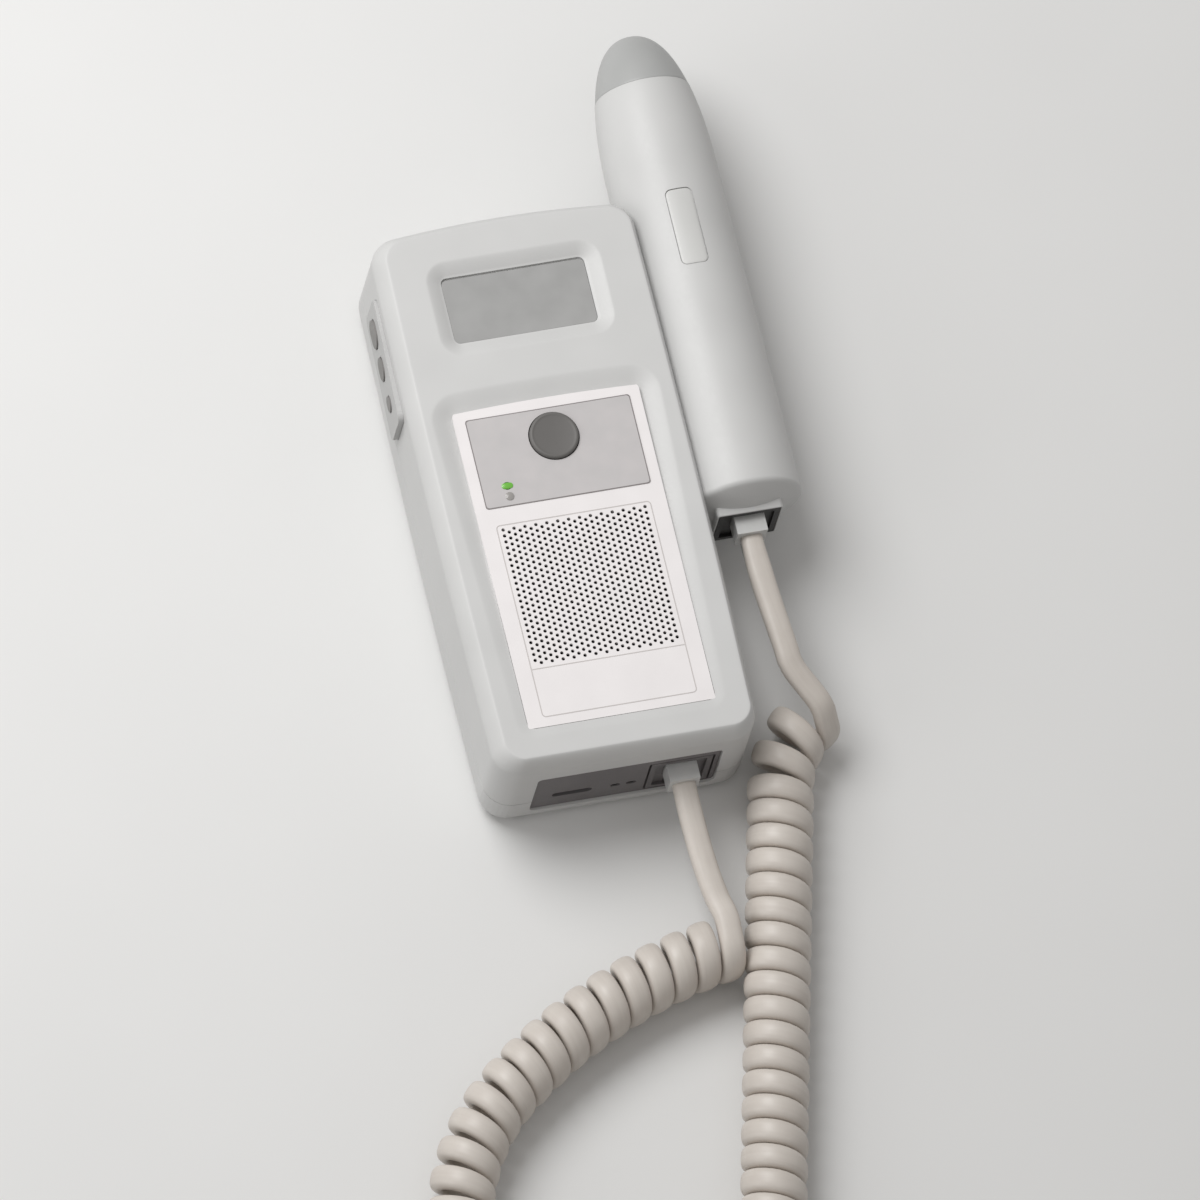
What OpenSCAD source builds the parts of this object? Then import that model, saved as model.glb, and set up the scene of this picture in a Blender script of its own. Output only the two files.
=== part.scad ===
// Handheld vascular doppler: a pocket unit with a display, and a pencil probe in
// a holder on its right side, joined by a curly cord with modular plugs.
// The unit lies on its back. Sizes are in millimetres, and +Z comes out of its face.
// Pieces are drawn from the middle of the unit's bottom end, on its back plane, and
// placed() then moves them so that the origin is under the middle of the whole object.

/* [Unit body] */
// Width of the unit
unit_w = 68; // [64:0.5:82]
// Length of the unit, from its bottom end to its top end
unit_l = 146; // [140:1:176]
// Height of the unit, from its back to its face
unit_h = 35.5; // [34.5:0.5:43]
// Radius of the corners, seen from the front
corner_r = 7; // [6:0.5:10]
// Rounding of the edge round the face
face_fillet = 4; // [3:0.5:5.5]
// Rounding of the edge round the back
back_fillet = 4.5; // [2:0.5:5]
// How far the top end bows outwards
end_arch = 1.2; // [0:0.1:3]
// How far each side bows outwards
side_bow = 0.6; // [0:0.1:2]
// Wall of the sides and the back
wall = 2.2; // [1.8:0.1:3]
// Wall of the face
face_t = 3.4; // [3:0.1:4.5]
// Wall of the bottom end, behind the port plate
end_t = 3.4; // [3:0.1:5]
// Height of the seam between the two shells
seam_z = 11.5; // [9:0.5:13]

/* [Face] */
// Width of the white face plate
plate_w = 47.4; // [46:0.1:54]
// Length of the white face plate
plate_l = 85.5; // [82:0.5:90]
// Lower edge of the face plate, from the bottom end
plate_y = 10; // [8:0.5:13]
// Thickness of the face plate
plate_t = 0.6; // [0.4:0.1:0.8]
// How far the shell is sunk round the face plate
plate_sink = 0.8; // [0.4:0.1:1]
// Width of the grey inset on the face plate
inset_w = 41.4; // [36:0.2:44]
// Length of the grey inset
inset_l = 23.6; // [20:0.2:26]
// Diameter of the power button
button_d = 12.3; // [9:0.1:14]
// Travel of the power button
button_travel = 0.8; // [0.4:0.1:1]
// Side of the square field of sound holes
grille_w = 37.4; // [30:0.2:38]
// Lower edge of the field of sound holes, from the bottom end
grille_y = 25.7; // [21:0.1:27]
// Spacing of the sound holes
grille_pitch = 1.6; // [1.5:0.1:4]
// Diameter of a sound hole
grille_hole = 0.9; // [0.6:0.1:1.2]
// Width of the display window
window_w = 36.3; // [30:0.1:40]
// Height of the display window
window_l = 17; // [14:0.1:20]
// Lower edge of the display window, from the top end
window_drop = 32.3; // [28:0.1:35]
// Depth of the dished frame round the window
window_sink = 1.2; // [0.6:0.1:1.5]
// Depth of the display window below its frame
window_set = 0.5; // [0.2:0.1:0.6]

/* [Side keys] */
// Length of the raised key pad on the left side
pad_l = 33; // [31:0.5:40]
// Width of the key pad, from back to face
pad_w = 14; // [11:0.5:16]
// Lower end of the key pad, from the top end
pad_drop = 47.5; // [44:0.5:60]
// Height of the pad's lower end above the side
pad_high = 1.3; // [0.5:0.1:2]
// Height of the pad's upper end above the side
pad_low = 0.4; // [0.1:0.1:0.5]
// Spacing of the three keys
key_pitch = 9.4; // [8.4:0.1:10]
// Travel of a side key
key_travel = 0.6; // [0.3:0.1:0.8]

/* [Battery bay] */
// Diameter of a battery cell
cell_d = 14.2; // [10:0.1:14.5]
// Length of a battery cell
cell_l = 50; // [44:0.5:51]
// Thickness of the battery door
door_t = 2; // [1.5:0.1:2]
// How far the battery door slides before it lifts off
door_travel = 12; // [6:1:14]

/* [Probe] */
// Length of the probe
probe_l = 131; // [110:0.1:150]
// Radius of the probe at its cord end
probe_r = 15; // [12:0.1:15.5]
// Radius where the taper meets the rounded nose
nose_r = 14; // [10:0.1:14.5]
// Length of the rounded nose
nose_l = 40; // [25:1:50]
// Fullness of the nose: 2 is an ellipse
nose_power = 2.4; // [2:0.1:2.6]
// Length of the grey acoustic cap
cap_l = 15.5; // [10:0.5:20]
// Wall of the probe
probe_wall = 2; // [1.5:0.1:2.5]
// Cord end of the probe, from the unit's bottom end
probe_y = 59.4; // [57:0.1:67]
// Height of the probe's axis above the back plane
probe_z = 22.5; // [20.5:0.5:24.5]
// How deep the probe sits in the side of the unit
probe_sunk = 4; // [1:0.1:4.5]
// Clearance of the probe in its holder
probe_gap = 0.3; // [0.2:0.05:0.6]
// Length of the holder along the probe
holder_l = 38; // [24:1:60]

/* [Cord] */
// Width of the cord
cord_w = 5.9; // [4:0.1:6]
// Thickness of the cord
cord_t = 5; // [3:0.1:5]
// Outer diameter of the curls
coil_od = 17.4; // [14:0.1:18]
// Spacing of the curls where the coil runs straight
coil_pitch = 6.5; // [6.5:0.05:9]

/* [Hidden] */
$fn = 48;

// Clearances
fit = 0.15;
slip = 0.25;
eps = 0.01;

// Colours
body_grey = "#D3D3D0";
probe_white = "#DCDCDA";
dark_grey = "#777777";
cord_cream = "#D5CDC5";
board_green = "#2F6B45";
steel = "#B8BABD";
gold = "#D4AF60";
clear_tint = "#D8DEE0";
near_black = "#242424";

// Heights inside the unit
face_z = unit_h;
ceiling_z = unit_h - face_t;
plate_z = unit_h - plate_sink;
jack_w = 15.6;
jack_h = 15;
jack_d = 16;
jack_z = 6.7;
board_z = jack_z + jack_h;
board_t = 1.6;
board_top = board_z + board_t;
board_half = unit_w / 2 - 7.7;
switch_h = 4;

// Places on the face, along the unit
button_y = plate_y + 75;
inset_y = plate_y + plate_l - 3 - inset_l;
light_x = 14.4;
light_ys = [inset_y + 2.3, inset_y + 5.1];
light_d = 1.8;
film_t = 0.15;
window_y = unit_l - window_drop + window_l / 2;

// Side keys, from the lower to the upper: width from back to face, and length along the unit
pad_y = unit_l - pad_drop;
pad_mid_z = 21;
key_y = pad_y + 0.51 * pad_l;
key_sizes = [[3.6, 4], [4.8, 5.9], [5.8, 7.3]];
key_tops = [0.35, 0.4, 0.45];
key_seat = -unit_w / 2 + wall + side_bow + 0.2;
key_flange_t = 0.8;
key_lip = 0.5;
key_nub = 1.6;

// Probe and holder
probe_big = max(probe_r, nose_r);
probe_x = unit_w / 2 + probe_big - probe_sunk;
tip_y = probe_y + probe_l;
probe_end_r = 4;
block_out = 2.4;
body_end = probe_l - block_out;
badge_y = probe_y + 74.3;
badge_w = 7;
badge_l = 20.5;
badge_sink = 0.9;
badge_top = probe_z + probe_radius(tip_y - badge_y);
holder_t = 2;
holder_in = probe_big + probe_gap;
holder_out = holder_in + holder_t;
holder_end = -24;
holder_y = probe_y + 7;
holder_low = 3.2;
holder_foot = 8;
holder_screw_ys = [holder_y + 10, holder_y + holder_l - 10];
holder_screw_z = holder_low + 4.2;
groove_r = holder_in + 0.1;
groove_y = probe_y - 2;

// Ports on the bottom end
port_w = 46.7;
port_h = 19.4;
port_x = 1.2;
port_z = 15.7;
port_sink = 0.6;
port_t = 1.2;
jack_x = 15;
jack_face = port_sink;
charge_x = -12;
charge_z = 12.5;
charge_light_xs = [-1, 3];
plug_up = 9.2;

// Modular plug
plug_w = 7.7;
plug_h = 6.6;
plug_out = 4.2;
plug_in = 12;
plug_play = 0.2;
latch_w = 3.2;
latch_drop = 3.6;
contact_pitch = 1.02;

// Battery bay
cell_step = cell_d + 0.6;
nub_h = 0.6;
bay_w = 3 * cell_step + 1;
bay_y = 20;
bay_l = cell_l + 8;
bay_t = 1.5;
door_w = bay_w + 0.6;
door_end = bay_y + bay_l + 1;
tongue_w = 1.2;
tongue_l = 8;
tongue_ys = [14, 42, 70];
cell_z = door_t + 0.6 + cell_d / 2;
bay_roof = cell_z + cell_d / 2 + 0.7;

// Screws: case screws, board screws and holder screws
boss_r = 3;
board_boss_r = 2.8;
screw_d = 2;
thread_gap = 0.05;
head_d = 4.2;
head_h = 1.3;
head_seat = 2.2;
low_post = [unit_w / 2 - 6.5, 9];
high_post = [unit_w / 2 - 10, unit_l - 7.5];
case_posts = [for (x = [-1, 1], p = [low_post, high_post]) [x * p[0], p[1]]];
board_posts = [for (x = [-1, 1], p = [[board_half - 3.3, 20], [board_half - 5.8, 100]]) [x * p[0], p[1]]];

// Box of the object without its cord
box_left = min([for (i = [0:2]) pad_skin(key_y + (i - 1) * key_pitch) - key_tops[i]]);
box_right = probe_x + max(probe_big, holder_out * cos(holder_end));
box_mid = [(box_left + box_right) / 2, tip_y / 2];

module placed() translate([-box_mid[0], -box_mid[1], 0]) children();

module at_each(places, z) for (p = places) translate([p[0], p[1], z]) children();

// A cube about the unit's middle plane
module slab(z, h) translate([-unit_w, -unit_w, z]) cube([2 * unit_w, unit_l + 2 * unit_w, h]);

// A rectangle with round corners, from its middle
module round_rect(w, l, r) {
    square([w - 2 * r, l], center = true);
    square([w, l - 2 * r], center = true);
    for (x = [-1, 1], y = [-1, 1])
        translate([x * (w / 2 - r), y * (l / 2 - r)]) circle(r);
}

module round_block(w, l, h, r) linear_extrude(h) round_rect(w, l, r);

// A cutter with sloping sides: its size at the bottom, and how far it spreads up to the face
module dish(w, l, depth, spread, r) {
    hull() {
        translate([0, 0, -depth]) round_block(w, l, 0.1, r);
        round_block(w + 2 * spread, l + 2 * spread, 0.1, r + spread);
    }
    round_block(w + 2 * spread, l + 2 * spread, 4, r + spread);
}

// A slot with round ends: long along Y
module slot_2d(w, l) {
    square([w, l - w], center = true);
    for (y = [-1, 1]) translate([0, y * (l - w) / 2]) circle(d = w);
}

// Points on an arc, for turned profiles
function quarter(x, z, r, from, to, steps) =
    [for (i = [0:steps]) let (a = from + (to - from) * i / steps) [x + r * cos(a), z + r * sin(a)]];

// One corner post of the case, turned from a profile with a rounded foot and head
module post(r, z0, z1, low_r, high_r) {
    rotate_extrude($fn = 32) polygon(concat([[0, z0]],
        quarter(r - low_r, z0 + low_r, low_r, -90, 0, 6),
        quarter(r - high_r, z1 - high_r, high_r, 0, 90, 8), [[0, z1]]));
}

// The case outline, drawn in by a margin, as one smooth block
module case_block(inset, end_inset, z0, z1, low_r, high_r) {
    r = corner_r - min(inset, corner_r - max(low_r, high_r) - 0.5);
    half = unit_w / 2 - inset - r;
    low_y = end_inset + r;
    high_y = unit_l - inset - r;
    hull() {
        for (t = [-1:0.5:1]) {
            bow = side_bow * t * t;
            y = (low_y + high_y - end_arch) / 2 + t * (high_y - end_arch - low_y) / 2;
            for (x = [-1, 1]) translate([x * (half - bow), y, 0]) post(r, z0, z1, low_r, high_r);
        }
        for (t = [-0.5:0.5:0.5])
            translate([t * (half - side_bow), high_y - end_arch * t * t, 0])
                post(r, z0, z1, low_r, high_r);
    }
}

// The bed for the probe in the unit's right side
module probe_bed(extra) {
    translate([probe_x, groove_y - extra, probe_z]) rotate([-90, 0, 0])
        cylinder(r = groove_r + extra, h = unit_l - groove_y + 2 * extra + 5, $fn = 96);
}

module case_walls() {
    difference() {
        case_block(0, 0, 0, unit_h, back_fillet, face_fillet);
        probe_bed(0);
        difference() {
            case_block(wall, end_t, wall, ceiling_z, back_fillet - 1.5, face_fillet - 2);
            probe_bed(wall);
        }
    }
}

// Cut for the port plate and for what looks through it
module port_cut() {
    translate([port_x, port_sink + port_t, port_z]) rotate([90, 0, 0])
        round_block(port_w + 2 * fit, port_h + 2 * fit, 10, 2);
    translate([jack_x, end_t + 1, jack_z + jack_h / 2]) rotate([90, 0, 0])
        round_block(jack_w + 2 * fit, jack_h + 2 * fit, end_t + 2, 0.5);
    translate([charge_x, end_t + 1, charge_z]) rotate([90, 0, 0])
        round_block(10.4, 4.4, end_t + 2, 1);
    for (x = charge_light_xs) translate([x, end_t + 1, charge_z]) rotate([90, 0, 0])
        cylinder(d = 2.2, h = end_t + 2);
}

module key_outline(i, grow) slot_2d(key_sizes[i][0] + 2 * grow, key_sizes[i][1] + 2 * grow);

module key_cut(i) {
    translate([-unit_w / 2 - 3, key_y + (i - 1) * key_pitch, pad_mid_z]) rotate([0, 90, 0])
        linear_extrude(8) key_outline(i, slip);
}

// Seat of the key pad, sunk into the left side
module pad_seat(grow) {
    translate([-unit_w / 2 - 5, pad_y + pad_l / 2, pad_mid_z]) rotate([0, 90, 0])
        round_block(pad_w + 2 * grow, pad_l + 2 * grow, 5.9, 2);
}

module front_shell() {
    color(body_grey) difference() {
        union() {
            difference() {
                intersection() {
                    case_walls();
                    slab(seam_z, unit_h);
                }
                // dished frame and opening of the display
                translate([0, window_y + 0.6, face_z])
                    dish(window_w + 1.6, window_l + 3, window_sink, 2.8, 2);
                translate([0, window_y, ceiling_z + 0.8])
                    round_block(window_w + 2 * fit, window_l + 2 * fit, 9, 1.5);
                translate([0, window_y, ceiling_z - 1])
                    round_block(window_w - 3, window_l - 3, 9, 1);
                // sunk field of the face plate
                translate([0, plate_y + plate_l / 2 + 1, face_z])
                    dish(plate_w + 3, plate_l + 3, plate_sink, 2.4, 2);
                // button, lights and sound opening
                translate([0, button_y, ceiling_z - 1]) cylinder(d = button_d + 2 * slip, h = 9);
                for (y = light_ys) translate([-light_x, y, ceiling_z - 1])
                    cylinder(d = light_d + 2 * fit, h = 9);
                translate([0, grille_y + grille_w / 2, ceiling_z - 1])
                    round_block(grille_w + 1, grille_w + 1, 9, 2);
                pad_seat(fit);
                for (i = [0:2]) key_cut(i);
            }
            // posts for the case screws and the board
            at_each(case_posts, seam_z) cylinder(r = boss_r, h = ceiling_z - seam_z + 1);
            at_each(board_posts, board_top) cylinder(r = board_boss_r, h = ceiling_z - board_top + 1);
        }
        port_cut();
        at_each(case_posts, seam_z - 1) cylinder(d = screw_d + 2 * thread_gap, h = 11);
        at_each(board_posts, board_top - 1) cylinder(d = screw_d + 2 * thread_gap, h = 6);
    }
}

module rear_shell() {
    color(body_grey) difference() {
        union() {
            intersection() {
                case_walls();
                slab(-1, seam_z + 1);
            }
            at_each(case_posts, 1) cylinder(r = boss_r, h = seam_z - 1);
            // walls round the battery bay
            translate([-bay_w / 2 - bay_t, bay_y - bay_t, 1])
                cube([bay_w + 2 * bay_t, bay_l + 2 * bay_t, board_z - head_h - 1.3]);
            // ribs that back the holder's screws
            for (y = holder_screw_ys) translate([unit_w / 2 - 5.5, y, holder_screw_z]) rotate([0, 90, 0])
                cylinder(r = 2.6, h = 4);
        }
        translate([-bay_w / 2, bay_y, -1]) cube([bay_w, bay_l, bay_roof + 1]);
        port_cut();
        // opening, side grooves and entry notches of the sliding door
        translate([-door_w / 2 - fit, -1, -1]) cube([door_w + 2 * fit, door_end + fit + 1, door_t + 1 + fit]);
        for (x = [-1, 1]) {
            translate([x * (door_w / 2 + tongue_w / 2) - tongue_w / 2 - slip, -1, 0.6 - fit])
                cube([tongue_w + 2 * slip, door_end + 1, 0.9 + 2 * fit]);
            for (y = tongue_ys) translate([x * (door_w / 2 + tongue_w / 2) - tongue_w / 2 - slip,
                    y - door_travel - tongue_l / 2 - 0.5, -1])
                cube([tongue_w + 2 * slip, tongue_l + 1, 2]);
        }
        at_each(case_posts, -1) {
            cylinder(d = head_d + 2 * slip, h = head_seat + 1);
            cylinder(d = screw_d + 2 * fit, h = 20);
        }
        for (y = holder_screw_ys) translate([unit_w / 2 - 8, y, holder_screw_z]) rotate([0, 90, 0])
            cylinder(d = screw_d + 2 * thread_gap, h = 12);
    }
}

module battery_door() {
    color(body_grey) difference() {
        union() {
            intersection() {
                case_block(0, 0, 0, unit_h, back_fillet, face_fillet);
                translate([-door_w / 2, -1, -1]) cube([door_w, door_end + 1, door_t + 1]);
            }
            for (x = [-1, 1], y = tongue_ys)
                translate([x * (door_w / 2 + tongue_w / 2 - 0.5) - tongue_w / 2 - 0.5, y - tongue_l / 2, 0.6])
                    cube([tongue_w + 1, tongue_l, 0.9]);
        }
        // finger grooves
        for (i = [0:4]) translate([-9, 10 + i * 2.2, -1]) cube([18, 1, 1.4]);
    }
}

module battery_cells() {
    for (i = [-1:1]) translate([i * cell_step, bay_y + bay_l / 2, cell_z])
            rotate([i == 0 ? -90 : 90, 0, 0]) {
        color("#3E7D4B") translate([0, 0, -cell_l / 2 + nub_h]) cylinder(d = cell_d, h = cell_l - 2 * nub_h);
        color(steel) cylinder(d = 5.5, h = cell_l / 2);
    }
}

// At each end of a cell is a sheet contact, with a stud for its nub or a cone for its flat end
module battery_contacts() {
    color(steel) for (i = [-1:1], e = [-1, 1]) {
        at_nub = (i == 0 ? 1 : -1) * e > 0;
        translate([i * cell_step, bay_y + bay_l / 2 + e * (bay_l / 2 - 0.4), cell_z]) {
            cube([10, 0.5, 10], center = true);
            rotate([e * 90, 0, 0]) cylinder(d1 = at_nub ? 3.6 : 9, d2 = at_nub ? 3.6 : 6,
                h = bay_l / 2 - 0.4 - cell_l / 2 + (at_nub ? 0 : nub_h) - 0.1);
        }
    }
}

// A pan-head screw with its head below the origin plane and a cross in the head
module screw(shank_l) {
    difference() {
        union() {
            cylinder(d = screw_d, h = shank_l);
            translate([0, 0, -head_h]) cylinder(d = head_d, h = head_h);
        }
        for (a = [0, 90]) rotate(a) translate([-head_d / 3, -0.25, -head_h - 1])
            cube([head_d / 1.5, 0.5, 1.6]);
    }
}

module case_screws() {
    color(steel) at_each(case_posts, head_seat) screw(15);
}

module main_board() {
    color(board_green) difference() {
        translate([0, 0, board_z]) linear_extrude(board_t) difference() {
            union() {
                translate([-board_half, 14]) square([2 * board_half, unit_l - 10.5 - 14]);
                translate([-board_half + 2.6, end_t + 0.4]) square([2 * board_half - 5.2, 12]);
            }
            // room for the key board
            translate([-board_half - 1, pad_y - 1]) square([2.9, pad_l + 2]);
        }
        at_each(board_posts, board_z - 1) cylinder(d = screw_d + 2 * fit, h = 5);
    }
    color(near_black) {
        translate([-6, 88, board_z - 1.2]) cube([12, 12, 1.2]);
        translate([8, 104, board_z - 1]) cube([8, 5, 1]);
        translate([-16, 106, board_z - 1]) cube([5, 8, 1]);
    }
}

module board_screws() {
    color(steel) at_each(board_posts, board_z) screw(6);
}

module display_window() {
    color("#A9A9A8") translate([0, window_y, ceiling_z + 0.8])
        round_block(window_w, window_l, face_t - window_sink - 0.8 - window_set, 1.4);
}

module display_module() {
    color("#8F9490") translate([0, window_y - 0.4, board_top])
        round_block(window_w + 5, window_l + 5, ceiling_z - board_top - 0.2, 0.8);
    color("#A9A9A8") translate([0, window_y, ceiling_z - 0.3])
        round_block(window_w - 4, window_l - 4, 0.9, 0.5);
}

module plate_outline(w, l, r, arch) {
    big = (w * w / 4 + arch * arch) / (2 * arch);
    intersection() {
        translate([0, -arch]) round_rect(w, l + 2 * arch, r);
        translate([0, l / 2 - big]) circle(big, $fn = 128);
        translate([0, big]) square([2 * w, l + 2 * big], center = true);
    }
    translate([0, -l / 2 + r + 1]) round_rect(w, 2 * r + 2, r);
}

module face_plate() {
    color("#F2EEEE") translate([0, 0, plate_z]) linear_extrude(plate_t) difference() {
        translate([0, plate_y + plate_l / 2]) plate_outline(plate_w, plate_l, 1.6, 0.6);
        face_openings();
        translate([0, grille_y + grille_w / 2]) sound_holes();
    }
}

// Openings for the power button and the status lights
module face_openings() {
    translate([0, button_y]) circle(d = button_d + 2 * slip);
    for (y = light_ys) translate([-light_x, y]) circle(d = light_d + 2 * fit);
}

// Sound holes on a staggered grid, in columns that run along the unit
module sound_holes() {
    step = grille_pitch * sin(60);
    columns = floor((grille_w - grille_hole) / 2 / step);
    rows = floor((grille_w - grille_hole - grille_pitch / 2) / 2 / grille_pitch);
    for (c = [-columns:columns], r = [-rows:rows]) {
        shift = abs(c) % 2 == 1 ? grille_pitch / 2 : 0;
        translate([c * step, r * grille_pitch + shift]) circle(d = grille_hole, $fn = 16);
    }
}

module inset_film() {
    color("#C5C2C2") translate([0, 0, plate_z + plate_t]) linear_extrude(film_t) difference() {
        translate([0, inset_y + inset_l / 2]) round_rect(inset_w, inset_l, 0.8);
        face_openings();
    }
}

module power_button() {
    top = face_z + 0.9;
    flange_z = ceiling_z - 1.2;
    stem_z = board_top + switch_h + 0.1 + button_travel;
    color(dark_grey) translate([0, button_y, 0]) {
        intersection() {
            translate([0, 0, flange_z]) cylinder(d = button_d, h = top - flange_z);
            translate([0, 0, top - 40]) sphere(40, $fn = 96);
        }
        translate([0, 0, flange_z]) cylinder(d = button_d + 2.2, h = 1);
        translate([0, 0, stem_z]) cylinder(d = 4, h = flange_z + 0.5 - stem_z);
    }
}

module power_switch() {
    translate([0, button_y, board_top]) {
        color(near_black) translate([-3, -3, 0]) cube([6, 6, 3.2]);
        color(steel) cylinder(d = 3.4, h = switch_h);
    }
}

module status_lights() {
    for (i = [0:1]) translate([-light_x, light_ys[i], 0]) {
        color(i == 1 ? "#6CC24A" : "#8E8E8E") translate([0, 0, board_top])
            cylinder(d = light_d, h = plate_z + plate_t + film_t - board_top);
    }
}

module speaker() {
    mid = grille_y + grille_w / 2;
    color(near_black) difference() {
        translate([0, mid, ceiling_z - 1.4]) round_block(grille_w + 4, grille_w + 4, 1.2, 2);
        translate([0, mid, ceiling_z - 1.6]) cylinder(d = grille_w - 3.4, h = 2);
    }
    color("#3A3A3A") translate([0, mid, ceiling_z - 1.4]) mirror([0, 0, 1]) difference() {
        cylinder(d1 = grille_w - 3, d2 = 20, h = 4.4);
        translate([0, 0, -0.01]) cylinder(d1 = grille_w - 5, d2 = 14, h = 3);
    }
    color(steel) translate([0, mid, board_top + 0.3])
        cylinder(d = 18, h = ceiling_z - 5.8 - board_top - 0.3);
}

module speaker_cloth() {
    color("#1E1E1E") translate([0, grille_y + grille_w / 2, ceiling_z - 0.2])
        round_block(grille_w + 4, grille_w + 4, 0.2, 2);
}

// The key pad is a wedge: it rises from the side towards its lower end
module side_key_pad() {
    skin = -unit_w / 2;
    color("#C9C9C6") difference() {
        intersection() {
            linear_extrude(2 * unit_h) polygon([[skin + 0.9, pad_y], [skin - pad_high, pad_y],
                [skin - pad_low, pad_y + pad_l], [skin + 0.9, pad_y + pad_l]]);
            pad_seat(0);
        }
        for (i = [0:2]) key_cut(i);
    }
}

// Surface of the key pad at a place along it
function pad_skin(y) = -unit_w / 2 - pad_high + (pad_high - pad_low) * (y - pad_y) / pad_l;

module side_key(i) {
    y = key_y + (i - 1) * key_pitch;
    top = pad_skin(y) - key_tops[i];
    color(dark_grey) translate([0, y, pad_mid_z]) rotate([0, 90, 0]) {
        translate([0, 0, top]) linear_extrude(key_seat - top + 0.5) key_outline(i, 0);
        translate([0, 0, key_seat]) linear_extrude(key_flange_t) key_outline(i, key_lip);
        translate([0, 0, key_seat]) cylinder(d = 2.4, h = key_nub);
    }
}

module side_key_upper() side_key(2);
module side_key_middle() side_key(1);
module side_key_lower() side_key(0);

module side_key_board() {
    face = key_seat + key_nub + key_travel + 0.2;
    color(board_green) translate([face + 2.2, pad_y, pad_mid_z - pad_w / 2]) cube([1.2, pad_l, pad_w + 1]);
    for (i = [0:2]) translate([face, key_y + (i - 1) * key_pitch, pad_mid_z]) rotate([0, 90, 0]) {
        color(steel) cylinder(d = 2, h = 1);
        color(near_black) translate([-2, -2, 0.6]) cube([4, 4, 1.6 + eps]);
    }
}

module port_plate() {
    color("#8A8686") difference() {
        translate([port_x, port_sink + port_t, port_z]) rotate([90, 0, 0])
            round_block(port_w, port_h, port_t, 1.8);
        translate([jack_x, end_t, jack_z + jack_h / 2]) rotate([90, 0, 0])
            round_block(jack_w + 2 * fit, jack_h + 2 * fit, end_t + 1, 0.5);
        translate([charge_x, end_t, charge_z]) rotate([90, 0, 0]) round_block(9.6, 2.4, end_t + 1, 1);
        for (x = charge_light_xs) translate([x, end_t, charge_z]) rotate([90, 0, 0])
            cylinder(d = 1.9, h = end_t + 1);
    }
}

// The charging socket: a metal shell with its tongue
module charge_socket() {
    translate([charge_x, 0, charge_z]) rotate([90, 0, 0]) {
        color(steel) translate([0, 0, -8.5]) difference() {
            round_block(9.4, 3.6, 6.6, 0.9);
            translate([0, 0, 1]) round_block(8.4, 2.2, 6, 0.8);
        }
        color(near_black) translate([-3, -0.4, -8]) cube([6, 0.8, 5]);
    }
    color(near_black) translate([charge_x - 4.5, end_t + 0.2, charge_z + 1.7])
        cube([9, 5, board_z - charge_z - 1.7]);
}

module charge_lights() {
    for (x = charge_light_xs) translate([x, port_sink, charge_z]) {
        color("#9AA39A") translate([0, 0.3, 0]) rotate([-90, 0, 0]) cylinder(d = 1.6, h = 6);
        color(near_black) translate([-1.2, 6.2, -1.2]) cube([2.4, 2, board_z - charge_z + 1.2]);
    }
}

// A modular jack, drawn with its mouth at y = 0 and its plug's middle on the X and Z origin
module jack() {
    side = jack_w / 2;
    color(near_black) difference() {
        translate([-side, 0, -plug_up]) cube([jack_w, jack_d, jack_h]);
        translate([-plug_w / 2 - plug_play, -1, -plug_h / 2 - plug_play])
            cube([plug_w + 2 * plug_play, plug_in + 1.4, plug_h + 2 * plug_play]);
        translate([-3.3, -1, -plug_h / 2 - latch_drop - 1.2]) cube([6.6, plug_in + 1.4, latch_drop + 2]);
        // the mouth widens a little
        translate([-side + 1.4, -1, -plug_up + 1.4]) cube([jack_w - 2.8, 1.8, jack_h - 2.8]);
        // gaps for the contact wires
        for (i = [-1.5:1.5]) translate([i * contact_pitch - 0.3, 3, plug_h / 2 - 1])
            cube([0.6, plug_in - 2, 2.6]);
    }
}

module jack_contacts() {
    color(gold) for (i = [-1.5:1.5]) translate([i * contact_pitch - 0.2, 0, plug_h / 2])
        rotate([90, 0, 90]) linear_extrude(0.4) polygon([[3.6, 0.9], [12.4, 0.4], [12.4, 0.8], [3.6, 1.3]]);
}

// A modular plug in that jack, with a ramp and a tab under it
module plug() {
    back = -plug_out;
    color(clear_tint) difference() {
        union() {
            translate([-plug_w / 2, back, -plug_h / 2]) cube([plug_w, plug_in + plug_out, plug_h]);
            translate([-latch_w / 2, 0, -plug_h / 2]) rotate([90, 0, 90]) linear_extrude(latch_w)
                polygon([[plug_in, 0.2], [plug_in, -0.6], [back + 3, -latch_drop - 0.2],
                    [back - 3.6, -latch_drop + 0.2], [back - 3.6, -latch_drop + 1],
                    [back + 3, -latch_drop + 0.7], [plug_in - 2.6, 0.2]]);
        }
        // slot over each contact
        for (i = [-1.5:1.5]) translate([i * contact_pitch - 0.2, plug_in - 6, plug_h / 2 - 2.6])
            cube([0.4, 4.6, 4]);
        // bore for the cord's end
        translate([0, back - 1, 0]) rotate([-90, 0, 0]) linear_extrude(7)
            round_rect(cord_w - 1.4, cord_t - 1.6, 1);
    }
}

module plug_contacts() {
    color(gold) for (i = [-1.5:1.5]) translate([i * contact_pitch - 0.15, plug_in - 5.8, plug_h / 2 - 2.4])
        cube([0.3, 4.2, 2.5]);
}

module at_unit_jack() translate([jack_x, jack_face, jack_z + plug_up]) children();
module at_probe_jack() translate([probe_x, probe_y, probe_z]) children();

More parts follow.
